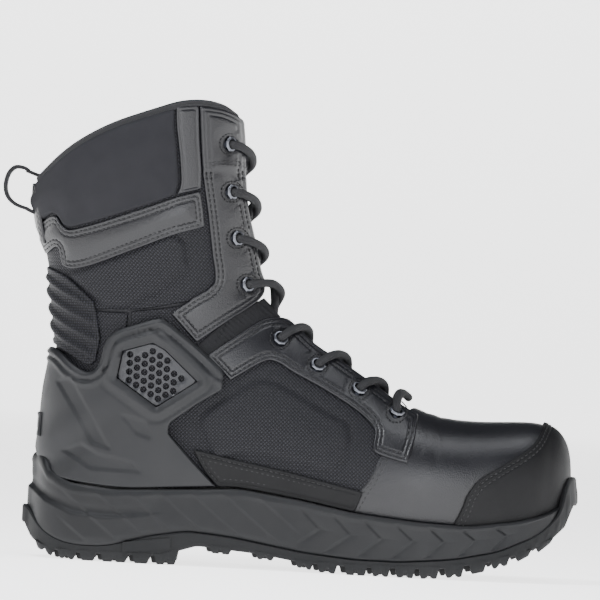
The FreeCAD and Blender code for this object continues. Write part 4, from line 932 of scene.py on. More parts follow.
def around_heel():
    """Heel quarter, shaft, Achilles ribs, collar band and pad, guard and grilles."""
    loop = wrap_loop([(-136.6, 58.2), (-133.5, 50.7), (-123.0, 45.0), (-96.0, 42.6)],
                     [(-135.3, 142.0), (-125.0, 141.0), (-108.0, 141.0), (-92.0, 141.0)], step=2.5)
    panel("Heel_quarter", loop, wrap_chart, BASE, "nylon", "ballistic_nylon", ["heel_quarter"], grid=3.5, rings=(0.4, 1.2))

    loop = wrap_loop([(-135.5, 143.0), (-110.0, 142.4), (-85.0, 143.6), (-62.0, 148.4), (-46.0, 151.4)],
                     raised(COLLAR_LINE[:6] + [(-57.5, 262.7)], -2.8),
                     [(-40.5, 164.0), (-41.0, 186.0), (-45.2, 212.0), (-49.0, 240.0)], step=2.0)
    inner = contour([(-42.5 - 20, 181.5), (-60.0, 168.0), (-92.5, 144.8), (-105.0, 144.5), (-126.0, 160.5), (-91.5, 174.5), (-69.0, 186.0)])

    def shaft(p, d):
        rise = np.zeros(len(p))
        for ring in inner:
            gap = distance(p, ring) * np.where(inside(p, ring), 1, -1)
            rise += 1.5 * step_up(gap, -1.6, 2.0) - 0.6 * hill(gap, -1.8, 1.0)
        return rise
    panel("Shaft_shell", loop, wrap_chart, BASE, "nylon", "ballistic_nylon", ["shaft_shell"], relief=shaft, grid=1.9, rings=(0.4, 1.0, 1.8))

    # Achilles ribs: three padded ridges that fan down and forwards
    loop = wrap_loop([(-132.6, 121.5), (-124.0, 116.5), (-113.0, 110.5), (-108.5, 113.0)],
                     [(-138.5, 165.0), (-128.0, 160.0), (-118.0, 152.0), (-111.0, 146.0)], [(-106.5, 126.0)])

    def ridges(p, d):
        fan = p[:, 1] + 0.42 * np.abs(p[:, 0])
        wave = np.sin((fan - 121.0) * 2 * math.pi / 9.6)
        return 1.5 * np.clip(wave, -0.35, 1) * step_up(d, 0.8, 4.5)
    panel("Achilles_ribs", loop, wrap_chart, OVERLAY, "nylon_upright", "ballistic_nylon", ["achilles_ribs"], relief=ridges, grid=1.3)

    # collar band
    low = [(-139.8, 172.5), (-133.0, 176.5), (-129.0, 166.0), (-117.0, 166.0), (-90.5, 177.0), (-69.5, 186.0), (-51.5, 192.0)]
    high = [(-144.2, 189.0), (-136.0, 194.0), (-129.0, 187.0), (-118.5, 188.8), (-98.0, 196.0), (-81.0, 202.5), (-67.5, 208.0), (-55.0, 212.0)]
    loop = wrap_loop(low, high, [(-53.0, 202.0)], step=1.0)
    panel("Collar_band", loop, wrap_chart, OVERLAY, "leather", "corrected_leather", ["collar_band"],
          relief=lambda p, d: groove(d, (1.8, 4.0)) + 0.9 * step_up(d, 4, 9), grid=2.0)
    stitch(loop, wrap_chart, 1.6, (1.8, 4.0))

    # neoprene collar pad: thick foam under a smooth face, pulled in at its edge
    low = [(-144.4, 190.4), (-136.0, 195.4), (-129.0, 188.4), (-118.5, 190.2), (-98.0, 197.4), (-81.0, 203.9), (-68.5, 209.4)]
    high = raised(COLLAR_LINE[:5], -2.4) + [(-71.6, 257.6)]
    loop = wrap_loop(low, high, [(-67.2, 217.0), (-68.8, 231.5), (-71.2, 247.5)], step=1.4)
    pad = panel("Collar_pad", loop, wrap_chart, OVERLAY, "neoprene", "neoprene", ["collar_pad"],
                relief=lambda p, d: 2.2 * step_up(d, 0.5, 16) + 0.6 * step_up(d, 0, 2), grid=2.6, edge=1.4)

    # back patch, heel badge and blank tag
    loop = wrap_loop([(-140.6, 178.5), (-139.5, 178.5)], [(-147.6, 212.0), (-146.6, 212.0)])
    panel("Back_patch", loop, wrap_chart, (1.8, 3.0), "leather", "corrected_leather", ["back_patch"], relief=lambda p, d: groove(d, (1.6, 3.6), 0.3))
    stitch(loop, wrap_chart, 3.0, (1.6, 3.6))
    loop = wrap_loop([(-135.9, 68.0), (-134.8, 68.0)], [(-135.7, 82.0), (-134.4, 82.0)])
    panel("Heel_badge", loop, wrap_chart, (4.2, 5.4), "tpu", "moulded_tpu", ["heel_badge"],
          relief=lambda p, d: -0.4 * step_up(d, 1.4, 2.0))
    loop = outline([(-107.5, 200.5), (-87.0, 207.0)], [(-87.0, 207.0), (-88.5, 212.0)], [(-88.5, 212.0), (-109.0, 206.0)], [(-109.0, 206.0), (-107.5, 200.5)])
    panel("Woven_tag", loop, side_chart(-1), (1.8, 2.4), "label", "woven_label", ["woven_tag"], rings=(0.3, 0.8))
    guard()


GUARD_BOTTOM = [(-136.6, 58.6), (-133.5, 51.1), (-123.0, 45.4), (-93.0, 42.6), (-62.0, 44.4), (-37.2, 46.2)]
GUARD_TOP = [(-132.5, 119.5), (-127.0, 116.5), (-119.5, 110.0), (-111.5, 106.5), (-106.0, 111.0),
             (-103.0, 123.0), (-98.0, 130.0), (-86.0, 135.0), (-75.5, 138.5), (-70.0, 137.5),
             (-52.0, 124.0), (-36.5, 110.8)]
GUARD_NOTCH = [(-51.0, 59.0), (-62.5, 71.0), (-65.2, 74.0), (-65.6, 77.0), (-64.5, 80.5), (-50.0, 91.5), (-36.5, 100.0)]


def guard():
    """The moulded guard: a double ridge along its top edge, a bevelled frame round the
    window, recessed bands across the heel, and the window's perforated grille."""
    loop = wrap_loop(GUARD_BOTTOM, GUARD_TOP, GUARD_NOTCH, step=1.1)
    frame_points = np.array(WINDOW + WINDOW[:1])
    window = even(frame_points, 1.1)[:-1]
    holes = [wrapped(window, 1), wrapped(window, -1)]
    holes = [h if np.sum(h[:, 0] * np.roll(h[:, 1], -1) - np.roll(h[:, 0], -1) * h[:, 1]) > 0 else h[::-1] for h in holes]
    top_line = [wrapped(through(GUARD_TOP, 1.5), s) for s in (1, -1)]
    band = contour([(-128.0, 100.5), (-107.0, 66.0), (-96.5, 63.0), (-117.0, 97.5), (-120.0, 103.5)])
    low_band = contour([(-124.0, 62.0), (-108.0, 52.0), (-78.0, 51.0), (-84.0, 57.5), (-103.0, 60.5), (-113.0, 66.0)])
    wedge = contour([(-93.0, 84.0), (-84.0, 73.0), (-74.5, 70.0), (-78.0, 80.5)])

    def mould(p, d):
        rise = np.zeros(len(p))
        gap = np.min([distance(p, line, False) for line in top_line], 0)
        rise += 1.1 * hill(gap, 2.6, 1.3) + 0.9 * hill(gap, 7.0, 1.2) - 0.5 * hill(gap, 4.8, 0.9)
        frame_gap = np.min([distance(p, h) for h in holes], 0)
        rise += 1.3 * (step_up(frame_gap, 0.4, 2.0) - step_up(frame_gap, 4.2, 7.0)) - 0.5 * hill(frame_gap, 8.0, 1.0)
        for group, depth in ((band, 0.9), (low_band, 0.8), (wedge, 0.9)):
            for ring in group:
                inner_gap = distance(p, ring) * np.where(inside(p, ring), 1, -1)
                rise -= depth * step_up(inner_gap, -0.3, 0.9)
        return np.maximum(rise, -1.2) * step_up(d, 0, 1.5)
    panel("Ankle_guard", loop, wrap_chart, MOULDED, "tpu", "moulded_tpu", ["ankle_guard"], relief=mould, holes=holes,
          grid=1.25, rings=(0.3, 0.8, 1.4, 2.2), edge=0.9)

    for letter, side in SIDES:
        middle = np.mean(WINDOW, 0)
        loop = (window - middle) * 0.985 + middle
        loop = loop if np.sum(loop[:, 0] * np.roll(loop[:, 1], -1) - np.roll(loop[:, 0], -1) * loop[:, 1]) > 0 else loop[::-1]
        lattice_points = [(middle[0] + 4.2 * i, middle[1] + 4.85 * (j + (0.5 if i % 2 else 0))) for i in range(-7, 8) for j in range(-6, 6)]
        centres = np.array(lattice_points)
        gap = distance(centres, loop) * np.where(inside(centres, loop), 1, -1)
        holes = [hexagon(c, 1.9, 12) for c in centres[gap > 2.6]]
        panel(f"Vent_grille_{letter}", loop, side_chart(side), (0.1, 1.6), "grille", "moulded_tpu", [f"vent_grille_{letter}"],
              holes=holes, grid=1.3, rings=(0.3,), edge=0.45)


upper()
around_heel()


# ---- eyelets, lace, tongue and loop -------------------------------------------------------
def eyelet_rings(side):
    """Rolled eyelets: a flange with eight flats outside, a round bore, a washer inside."""
    profile = np.array([(2.75, -0.9), (4.5, -0.9), (4.5, -0.15), (3.25, -0.15), (3.25, 1.7), (4.35, 1.75), (4.6, 2.0),
                        (4.35, 2.35), (3.8, 2.75), (3.2, 2.85), (2.85, 2.6), (2.75, 2.1)])
    turns = np.linspace(0, 2 * math.pi, 48, endpoint=False)
    facet = 0.97 * math.cos(math.pi / 8) / np.cos((turns + math.pi / 8) % (math.pi / 4) - math.pi / 8)
    points, faces, start = [], [], 0
    for x, z in EYELETS:
        v, u = spot(x, z, side)
        p, n = (a[0] for a in skin(v, u))
        e = np.cross(n, (0, 0, 1.0))
        e /= np.linalg.norm(e)
        f = np.cross(n, e)
        r = profile[:, :1] * np.where(profile[:, :1] > 3.9, facet[None] * 1.03, 1.0)
        ring = p + r[..., None] * (np.cos(turns)[None, :, None] * e + np.sin(turns)[None, :, None] * f) + profile[:, 1][:, None, None] * n
        count, m = ring.shape[:2]
        i, j = np.meshgrid(np.arange(count), np.arange(m), indexing="ij")
        k, l = (i + 1) % count, (j + 1) % m
        faces.append(np.stack([i * m + j, i * m + l, k * m + l, k * m + j], -1).reshape(-1, 4) + start)
        points.append(ring.reshape(-1, 3))
        start += count * m
    letter = "L" if side < 0 else "M"
    piece = make_mesh(f"Eyelets_{letter}", np.vstack(points), faces, M["gunmetal"])
    outward(piece)
    sharpen(piece, 30)
    place(piece, "boot", "gunmetal", f"eyelets_{letter}")


def lace_path(places):
    """A smooth path through (v, u, offset) places."""
    q = np.array(places, float)
    p, n = skin(q[:, 0], q[:, 1])
    return through(p + n * q[:, 2:], 0.6)


def tube(path, radius, around=14):
    """Rings of a round tube along a path that doesn't twist, and its UV in millimetres."""
    t = np.gradient(path, axis=0)
    t /= np.linalg.norm(t, axis=1, keepdims=True)
    side = np.cross(t[0], (0.3, 0.5, 0.8))
    frames = []
    for direction in t:
        side = side - direction * np.dot(side, direction)
        side = side / np.linalg.norm(side)
        frames.append(side)
    a = np.array(frames)
    b = np.cross(t, a)
    turn = np.linspace(0, 2 * math.pi, around + 1)[None, :, None]
    rings = path[:, None] + radius * (np.cos(turn) * a[:, None] + np.sin(turn) * b[:, None])
    reach = np.concatenate([[0], np.cumsum(np.linalg.norm(np.diff(path, axis=0), axis=1))])
    return rings, reach


ANKLE_LIFT = (0.0, 0.0, 1.0, 4.0, -1.5, -0.5, 0.0)      # how far the runs span the ankle's hollow


def lacing():
    """Criss-cross lacing: each run comes out of an eyelet, goes over the facing's edge and
    down under the facing opposite; the lowest pair is joined by a bar."""
    spots = {s: [tuple(float(a[0]) for a in spot(x, z, s)) for x, z in EYELETS] for s in (-1, 1)}
    runs = []
    for k in range(7):
        for side in (-1, 1):
            (va, ua), (vb, ub) = spots[side][k], spots[-side][k + 1]
            lift = (2.3 if side < 0 else -2.2) + ANKLE_LIFT[k]
            step = vb - va
            runs.append([(va, ua, -3.5), (va, ua, -0.5), (va + 0.02 * step, ua * 0.97, 2.6), (va + 0.1 * step, ua * 0.78, 4.0),
                         (va + 0.28 * step, ua * 0.42, (3.9 if side < 0 else 3.0) + 0.6 * ANKLE_LIFT[k]), (va + (0.64 if k == 3 else 0.5) * step, 0.0, lift),
                         (va + (0.78 if k == 3 else 0.68) * step, ub * 0.36, -2.6 + 0.5 * ANKLE_LIFT[k]), (va + 0.88 * step, ub * 0.62, -4.6), (vb, ub * 0.8, -4.8)])
    (va, ua), (vb, ub) = spots[-1][7], spots[1][7]
    half = [(0.0, 1.0, -3.5), (0.0, 1.0, -0.5), (0.02, 0.97, 2.8), (0.08, 0.82, 4.8), (0.08, 0.58, 6.4), (-0.02, 0.3, 5.2)]
    runs.append([(va + dv, ua * f, h) for dv, f, h in half] + [(va - 0.14, 0.0, 3.8)]
                + [(vb + dv, ub * f, h) for dv, f, h in half[::-1]])
    points, faces, uvs, start = [], [], [], 0
    for run in runs:
        rings, reach = tube(lace_path(run), 2.35)
        n, m = rings.shape[:2]
        i, j = np.meshgrid(np.arange(n - 1), np.arange(m - 1), indexing="ij")
        quads = np.stack([i * m + j, i * m + j + 1, (i + 1) * m + j + 1, (i + 1) * m + j], -1).reshape(-1, 4)
        faces += [quads + start, np.arange(m - 1)[None, ::-1] + start, np.arange(m - 1)[None] + (n - 1) * m + start]
        points.append(rings.reshape(-1, 3))
        uvs.append(np.stack(np.broadcast_arrays(reach[:, None], np.linspace(0, 15.04, m)[None]), -1).reshape(-1, 2))
        start += n * m
    piece = make_mesh("Lace_runs", np.vstack(points), faces, M["lace"], np.vstack(uvs))
    outward(piece)
    place(piece, "boot", "braided_lace", "lace")


def tongue():
    """The padded tongue: nylon face quilted in bars, foam behind it, mesh lining."""
    u = np.linspace(-0.6, 0.6, 61)
    t = np.linspace(0, 1, 190)[:, None]
    v = 6.95 + (20.9 + 0.55 * (u[None] / 0.6) ** 2 - 6.95) * t
    grid_u = np.broadcast_to(u, v.shape)

    def quilt(p, d, vv, uu):
        bars = np.abs(np.sin(vv * math.pi / 1.15))
        return 1.2 * bars ** 0.5 * step_up(d, 2.0, 5.0) + groove(d, (2.2,)) - 1.0
    for name, node, offsets, material, slot, relief in (
            ("Tongue_face", "tongue_shell", (-9.4, -7.9), "tongue", "tongue_nylon", quilt),
            ("Tongue_pad", "tongue_pad", (-14.6, -9.6), "foam", "foam_padding", None),
            ("Tongue_lining", "tongue_lining", (-16.0, -14.8), "mesh_lining", "lining_mesh", None)):
        points, faces, uv = lattice(v, grid_u, offsets, relief)
        piece = place(make_mesh(name, points, faces, M[material], uv), "tongue", slot, node)


def webbing_loop():
    """The pull loop of woven tape and its two sewn ends."""
    def tape(name, points, body, node, thick=2.0, width=19.6):
        line = through(np.array(points, float), 0.8)
        path = np.stack([line[:, 0], np.zeros(len(line)), line[:, 1]], 1)
        up = np.cross(np.gradient(path, axis=0), (0, 1.0, 0))
        place(swept(name, path, stadium(width, thick, 0.7), up, M["webbing"]), body, "webbing", *node)
    tape("Loop_tape", [(-153.3, 218.9), (-156.2, 220.5), (-161.0, 220.6), (-164.6, 216.8), (-166.1, 210.0), (-164.6, 203.9),
                       (-160.0, 199.6), (-152.8, 197.1)], "pull_loop", ["pull_loop"])
    tape("Loop_end_upper", [(-144.5, 215.6), (-149.0, 217.0), (-154.4, 218.9)], "boot", ["pull_loop_roots"])
    tape("Loop_end_lower", [(-148.6, 195.2), (-150.8, 196.0), (-153.0, 197.0)], "boot", [])


# ---- the sole ------------------------------------------------------------------------------
TOP_LINE = np.array([(-138.4, 58.4), (-136.2, 55.5), (-132.8, 49.5), (-122.5, 43.3), (-93.5, 40.5), (-58.5, 42.4),
                     (-23.5, 44.4), (10.0, 39.9), (42.5, 34.2), (78.5, 30.9), (107.0, 30.2), (136.0, 34.3),
                     (149.0, 37.9), (156.0, 41.0), (161.0, 44.0)])
PARTING = np.array([(-145.0, 31.0), (-140.5, 22.0), (-134.0, 15.0), (-123.5, 10.0), (-112.0, 8.5), (-98.0, 9.0),
                    (-74.5, 15.5), (-52.0, 19.5), (-27.5, 17.5), (13.5, 11.0), (42.5, 8.5), (69.0, 8.5),
                    (99.5, 11.5), (124.5, 17.0), (146.0, 27.0), (155.0, 35.0), (160.0, 43.0)])
TREAD_FLOOR = np.array([(-145.5, 19.0), (-141.0, 11.0), (-134.0, 6.0), (-122.0, 4.2), (-66.0, 4.5), (-57.0, 8.0),
                        (-46.0, 11.5), (-10.0, 8.8), (14.0, 5.2), (40.0, 4.6), (90.0, 5.6), (118.0, 10.5),
                        (140.0, 17.0), (154.0, 24.5), (162.5, 32.5), (167.0, 44.5)])
BUMPER = np.array([(159.0, 0.0), (161.0, 6.0), (163.0, 13.0), (164.8, 16.5), (166.5, 17.5)])
LUGS = [(-137.0, -127.5, 5.0, 1.5), (-124.0, -115.0, 0.5, 0.0), (-111.5, -103.5, 0.0, 0.0),
        (-99.5, -85.5, 0.0, 0.0), (-81.5, -73.0, 0.0, 0.0), (-69.0, -57.5, 0.0, 0.3), (-38.0, -27.0, 8.0, 7.6),
        (-12.0, -2.5, 6.0, 5.6), (10.5, 19.5, 2.6, 1.6), (23.0, 33.0, 0.6, 0.2), (38.5, 50.0, 0.0, 0.0),
        (53.5, 63.0, 0.0, 0.0), (67.0, 77.0, 0.0, 0.0), (80.5, 90.5, 0.0, 0.4), (95.0, 104.5, 1.2, 2.0),
        (109.0, 117.0, 4.0, 5.4), (121.0, 130.0, 7.5, 9.6), (134.5, 142.0, 12.2, 15.2), (146.0, 154.0, 17.8, 22.5)]
LEDGE = np.array([(-145.0, 43.0), (-142.4, 41.2), (-131.8, 33.3), (-117.0, 27.2), (-98.0, 26.0), (-79.3, 27.6), (-60.0, 30.5)])


def height(line, x):
    """Height of a side-view line at x."""
    return np.interp(x, line[:, 0], line[:, 1])


def smooth_height(line, x):
    """The same with its corners rounded over about eight millimetres."""
    return np.mean([height(line, x + d) for d in (-4.0, -2.0, 0.0, 2.0, 4.0)], 0)


def plan_line():
    """The upper's bottom edge seen from above: points, outward normals and how far each
    point is round the heel, evenly spaced."""
    stops = [0.5, 1, 2, 3, 4, 4.5, 5, 5.5, 6, 7, 8, 9, 10, 11, 11.7, 12.3, 12.75]
    ring = [(0.05, 1)] + [(v, 1) for v in stops] + [(13.0, 1)] + [(v, -1) for v in reversed(stops)]
    v, side = np.array(ring, float).T
    flat = bare_skin(v, 2.0 * side)[:, :2]
    flat[0, 1] = CENTRE_SHIFT + 7.5
    heel = np.clip((v - 11) / 2, 0, 1) ** 2
    q = np.column_stack([flat, heel])
    q = np.vstack([q[-2:], q, q[:3]])
    t = np.linspace(0, 1, 24, endpoint=False)[:, None]
    fine = np.vstack([q[i + 1] + 0.5 * t * (q[i + 2] - q[i] + t * (2 * q[i] - 5 * q[i + 1] + 4 * q[i + 2] - q[i + 3]
                      + t * (3 * (q[i + 1] - q[i + 2]) + q[i + 3] - q[i]))) for i in range(1, len(q) - 4)])
    line = even(np.vstack([fine, fine[:1]]), 0.85)[:-1]
    along = np.roll(line, -2, 0) - np.roll(line, 2, 0)
    normal = np.stack([along[:, 1], -along[:, 0]], 1)
    normal /= np.linalg.norm(normal, axis=1, keepdims=True)
    if np.sum(normal * (line[:, :2] - line[:, :2].mean(0))) < 0:
        normal = -normal
    return line[:, :2], normal, np.clip(line[:, 2], 0, 1)


PLAN, PLAN_NORMAL, HEEL = plan_line()


def ring_mesh(offsets, heights):
    """A closed ring with cross-section rows: offsets and heights are (rows, around)."""
    rows, around = heights.shape
    flat = PLAN[None] + PLAN_NORMAL[None] * offsets[..., None]
    points = np.concatenate([flat, heights[..., None]], -1).reshape(-1, 3)
    i, j = np.meshgrid(np.arange(rows), np.arange(around), indexing="ij")
    k, l = (i + 1) % rows, (j + 1) % around
    return points, np.stack([i * around + j, i * around + l, k * around + l, k * around + j], -1).reshape(-1, 4)


def midsole():
    """Foam midsole: its wall has a tier round the heel, slanting swooshes under the arch
    and chevrons that point forwards beside the ball of the foot."""
    edge = PLAN + PLAN_NORMAL * (5.0 + 0.9 * HEEL)[:, None]
    x = edge[:, 0]
    top = smooth_height(TOP_LINE, x)
    top = np.where(x < -130, height(TOP_LINE, x), top) + 0.6
    low = np.minimum(smooth_height(PARTING, x), top - 1.5)
    t = np.concatenate([np.linspace(0, 0.9, 40, endpoint=False), 1 - 0.1 * (1 - np.linspace(0, 1, 8)) ** 1.5])[:, None]
    z = low + (top - low) * t
    xs = np.broadcast_to(x, z.shape)
    middle = low + 0.52 * (top - low)
    inside_wall = step_up(t, 0.02, 0.16) * (1 - step_up(t, 0.8, 0.93))
    tip = (xs + 1.15 * np.abs(z - middle) - 21.7) / 17.7
    frac = tip - np.floor(tip)
    chevron = -1.1 * np.exp(-frac * 4.5) * step_up(frac, 0.0, 0.05)
    relief = chevron * inside_wall * step_up(xs, 8.0, 16.0) * (1 - step_up(xs, 128.0, 140.0))
    slant = (xs + 1.25 * z) / 19.0
    frac = slant - np.floor(slant)
    swoosh = 0.9 * (step_up(frac, 0.0, 0.06) - frac)
    relief = relief + swoosh * inside_wall * step_up(xs, -128.0, -112.0) * (1 - step_up(xs, 2.0, 14.0))
    ledge = height(LEDGE, xs)
    fade = 1 - step_up(xs, -92.0, -62.0)
    relief = relief + 1.9 * (1 - step_up(z, ledge - 1.6, ledge + 0.9)) * fade - 0.5 * fade * hill(z, ledge + 3.0, 2.4)
    lip = -1.3 * np.clip((t - 0.93) / 0.07, 0, 1) ** 2 - 0.7 * (1 - step_up(t, 0.0, 0.05)) + 0.5 * hill(t, 0.88, 0.05)
    out = 5.0 + 0.9 * HEEL[None] - 1.5 * step_up(xs, 152.0, 162.0) + relief + lip
    offsets = np.vstack([out, np.full_like(x, -1.0)[None], np.full_like(x, -6.0)[None], np.full_like(x, -6.0)[None]])
    heights = np.vstack([z, (top - 0.2)[None], (top - 0.5)[None], np.minimum(low + 0.5, top - 1.2)[None]])
    points, quads = ring_mesh(offsets, heights)
    piece = make_mesh("Midsole_foam", points, [quads], M["foam_sole"])
    outward(piece)
    place(piece, "boot", "foam_midsole", "midsole")


def prism_rings(loops):
    """Faces of a closed stack of equal loops, given as (levels, n, 3)."""
    levels, n = loops.shape[:2]
    i, j = np.meshgrid(np.arange(levels - 1), np.arange(n), indexing="ij")
    k = (j + 1) % n
    quads = np.stack([i * n + j, i * n + k, (i + 1) * n + k, (i + 1) * n + j], -1).reshape(-1, 4)
    a = np.arange(n // 2 - 1)
    cap = np.stack([a, a + 1, n - 2 - a, n - 1 - a], 1)
    return [quads, cap[:, ::-1], cap + (levels - 1) * n]


def outsole():
    """Rubber unit: a wall that runs up into the toe bumper, a floor, and tread blocks in
    four rows with bevelled edges."""
    out = 6.0 + 4.4 * HEEL
    edge = PLAN + PLAN_NORMAL * out[:, None]
    x = edge[:, 0]
    low = height(TREAD_FLOOR, x)
    bumper = np.interp(x, BUMPER[:, 0], BUMPER[:, 1])
    top = np.maximum(np.minimum(smooth_height(PARTING, x), 43.0) + bumper, low + 1.0)
    for _ in range(12):
        top = 0.5 * top + 0.25 * (np.roll(top, 1) + np.roll(top, -1))
    t = np.concatenate([[0.0, 0.04, 0.1], np.linspace(0.2, 0.85, 12), [0.92, 0.97, 1.0]])[:, None]
    z = low + (top - low) * t
    lean = -1.6 * step_up(z, 43.0, 61.0)
    shape = out[None] - 0.8 * (1 - step_up(t, 0, 0.1)) - 0.8 * step_up(t, 0.9, 1.0) ** 2 + lean
    ribs = 0.35 * step_up(np.sin(x * 2 * math.pi / 6.0), 0.2, 0.6)[None] * hill(t, 0.45, 0.25) * (x > 128)[None]
    rows = np.vstack([shape + ribs, (3.2 + lean[-1])[None] + 4.0 * HEEL[None] * 0, np.full((1, len(x)), 0.0)])
    heights = np.vstack([z, (top - 0.3)[None], (low + 1.0)[None]])
    points, quads = ring_mesh(rows, heights)
    parts, faces, start = [points], [quads], len(points)

    # floor plate between the walls
    rim = PLAN + PLAN_NORMAL * (out - 1.5)[:, None]
    rim[:, 0] = np.minimum(rim[:, 0], 154.0)
    rim = even(np.vstack([rim, rim[:1]]), 4.0)[:-1]
    gx, gy = np.meshgrid(np.arange(-144, 166, 5.0), np.arange(-54, 55, 6.0))
    bulk = np.stack([gx.ravel(), gy.ravel()], 1)
    bulk = bulk[inside(bulk, rim)]
    bulk = bulk[distance(bulk, rim) > 3]
    flat = np.vstack([rim, bulk])
    found = delaunay_2d_cdt([Vector(p) for p in flat], [(i, (i + 1) % len(rim)) for i in range(len(rim))], [], 1, 1e-4)
    flat, tris = np.array([tuple(p) for p in found[0]]), np.array([f for f in found[2] if len(f) == 3])
    n = len(flat)
    floor = height(TREAD_FLOOR, np.minimum(flat[:, 0], 158.0))
    under = np.column_stack([flat, floor + 0.1])
    over = np.column_stack([flat, floor + 2.6])
    sides = np.vstack([tris[:, [0, 1]], tris[:, [1, 2]], tris[:, [2, 0]]])
    known = {tuple(e) for e in sides.tolist()}
    border = np.array([e for e in sides.tolist() if (e[1], e[0]) not in known])
    up = np.sum(np.cross(over[tris[:, 1]] - over[tris[:, 0]], over[tris[:, 2]] - over[tris[:, 0]])[:, 2]) > 0
    walls = np.stack([border[:, 1], border[:, 0], border[:, 0] + n, border[:, 1] + n], 1)
    plate = [tris, tris[:, ::-1] + n, walls]
    parts += [np.vstack([over, under])]
    faces += [(f if up else f[:, ::-1]) + start for f in plate]
    start += 2 * n

    # tread blocks
    lateral, medial = edge[:, 1] < 4, edge[:, 1] > 4
    def reach(xx, side):
        mask = edge[:, 1] * side > 3 * side if side > 0 else edge[:, 1] < 3
        order = np.argsort(edge[mask, 0])
        return np.interp(xx, edge[mask, 0][order], edge[mask, 1][order])
    shares = np.array([0.0, 0.2, 0.38, 0.41, 0.45, 0.5, 0.55, 0.59, 0.62, 0.8, 1.0])
    m = len(shares)
    for x0, x1, z0, z1 in LUGS:
        for side in (-1, 1):
            for inner, outer, lag in ((3.0, 20.5, 3.0), (23.0, None, 0.0)):
                a, b = x0 - lag, x1 - lag
                along = a + (b - a) * shares
                y_out = reach(along, side) if outer is None else np.full(m, side * outer)
                if outer is not None and np.min(np.abs(reach(along, side))) < outer + 3:
                    continue
                if np.min(np.abs(y_out)) < inner + 3:
                    y_in = np.minimum(np.abs(y_out) - 5.0, inner) * side
                else:
                    y_in = np.full(m, side * inner)
                loop = np.vstack([np.column_stack([along, y_out]), np.column_stack([along, y_in])[::-1]])
                middle = loop.mean(0)
                share = np.clip((loop[:, 0] - a) / (b - a), 0, 1)
                notch = 1.9 * np.sqrt(np.maximum(1 - ((share - 0.5) * (b - a) / 1.3) ** 2, 0)) * (b - a > 8.5)
                ground = np.maximum(z0 + (z1 - z0) * share, 0.0)
                roof = height(TREAD_FLOOR, np.clip(loop[:, 0], -145, 167)) + 1.6
                levels = []
                for grow, z_level in ((1.2, roof), (0.2, ground + 0.5 * (roof - ground) + 0.5 * notch),
                                      (-0.5, ground + 0.6 + notch), (-1.1, ground + notch)):
                    away = loop - middle
                    size = np.abs(away).max(0)
                    moved = middle + away * (1 + grow / size)
                    if outer is None:
                        moved[:m, 1] = loop[:m, 1] + side * min(grow, 0.25)
                    levels.append(np.column_stack([moved, z_level]))
                stack = np.array(levels)
                parts.append(stack.reshape(-1, 3))
                flip = side < 0
                faces += [(f[:, ::-1] if flip else f) + start for f in prism_rings(stack)]
                start += stack.shape[0] * stack.shape[1]
    piece = make_mesh("Outsole_rubber", np.vstack(parts), faces, M["rubber"])
    sharpen(piece, 35)
    place(piece, "boot", "rubber_tread", "outsole")


INSIDE = {"shank": "steel", "insole_board": "fibre", "puncture_plate": "steel", "footbed": "footbed", "toe_cap_steel": "steel",
          "toe_cap_edge_strip": "edge", "heel_counter": "board", "quarter_lining_L": "mesh_lining", "quarter_lining_M": "mesh_lining",
          "ankle_foam": "foam", "collar_foam": "foam", "vamp_lining": "mesh_lining", "heel_lining": "mesh_lining",
          "shaft_lining": "mesh_lining", "gusset_L": "stretch", "gusset_M": "stretch", "lace_keeper": "webbing", "sole_plate": "rubber"}

for s in (-1, 1):
    eyelet_rings(s)
lacing()
tongue()
webbing_loop()
midsole()
outsole()
for node, material in INSIDE.items():
    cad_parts[node].data.materials.clear()
    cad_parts[node].data.materials.append(M[material])


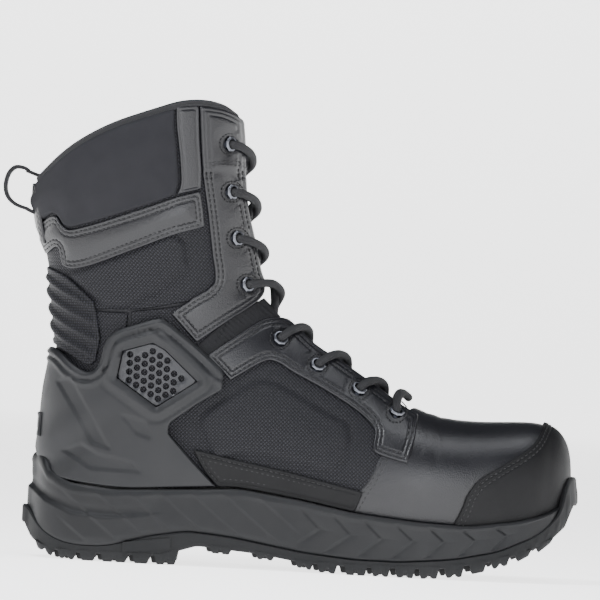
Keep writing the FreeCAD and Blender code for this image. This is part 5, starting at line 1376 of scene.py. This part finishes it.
# ---- floor, light and camera ---------------------------------------------------------------
def studio():
    """A round pale floor with a low rim, far outside every viewpoint, and soft boxes.

    A point is (r cos a, r sin a, z), where (r, z) runs along the profile."""
    profile = np.array([(0.02, 0.0), (5.6, 0.0), (6.2, 0.15), (6.5, 0.6), (6.6, 1.4)]) * 1000
    turn = np.linspace(0, 2 * math.pi, 96, endpoint=False)[:, None]
    r, z = profile.T
    points = np.stack(np.broadcast_arrays(r * np.cos(turn), r * np.sin(turn), z), -1).reshape(-1, 3)
    n = len(profile)
    i, j = np.meshgrid(np.arange(96), np.arange(n - 1), indexing="ij")
    k = (i + 1) % 96
    quads = np.stack([i * n + j, i * n + j + 1, k * n + j + 1, k * n + j], -1).reshape(-1, 4)
    hub = np.arange(96)[None, ::-1] * n
    floor = make_mesh("Floor", points, [quads, hub],
                      surface("white paper", "#f4f4f4", 0.9, speckled("#f2f2f2", "#f6f6f6"), Emission_Color=(1, 1, 1, 1),
                              Emission_Strength=2.4, Specular_IOR_Level=0.0))
    for name, spot_at, size, power in (("Key", (-0.45, -0.5, 1.2), 0.55, 13.0), ("Top", (0.35, -0.1, 1.25), 0.6, 4.0),
                                       ("Side", (0.25, -1.1, 0.45), 0.5, 4.5)):
        lamp = bpy.data.lights.new(name, "AREA")
        lamp.shape, lamp.size, lamp.energy = "DISK", size, power
        lamp.color = (0.94, 0.96, 1.0)
        piece = bpy.data.objects.new(name, lamp)
        piece.location = spot_at
        piece.rotation_euler = (Vector((0, 0, 0.12)) - Vector(spot_at)).to_track_quat("-Z", "Y").to_euler()
        bpy.context.scene.collection.objects.link(piece)
    world = bpy.data.worlds.new("Studio")
    world.use_nodes = True
    world.node_tree.nodes["Background"].inputs[0].default_value = (0.9, 0.93, 1.0, 1)
    world.node_tree.nodes["Background"].inputs[1].default_value = 0.1
    bpy.context.scene.world = world
    camera = bpy.data.cameras.new("Camera")
    camera.lens, camera.sensor_width = 500.0, 36.0
    camera.clip_end = 20.0
    piece = bpy.data.objects.new("Camera", camera)
    roll = math.radians(3.0)
    turn = Matrix(((math.cos(roll), -math.sin(roll), 0.0), (0.0, 0.0, -1.0), (math.sin(roll), math.cos(roll), 0.0)))
    piece.matrix_world = Matrix.Translation(Vector((0.0049, -0.340 * 500 / 36 - 0.03, 0.1534))) @ turn.to_4x4()
    bpy.context.scene.collection.objects.link(piece)
    bpy.context.scene.camera = piece


studio()
thread_mesh_object = thread_mesh("Stitching", M["thread"], STITCHES["boot"])
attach(thread_mesh_object, "boot")
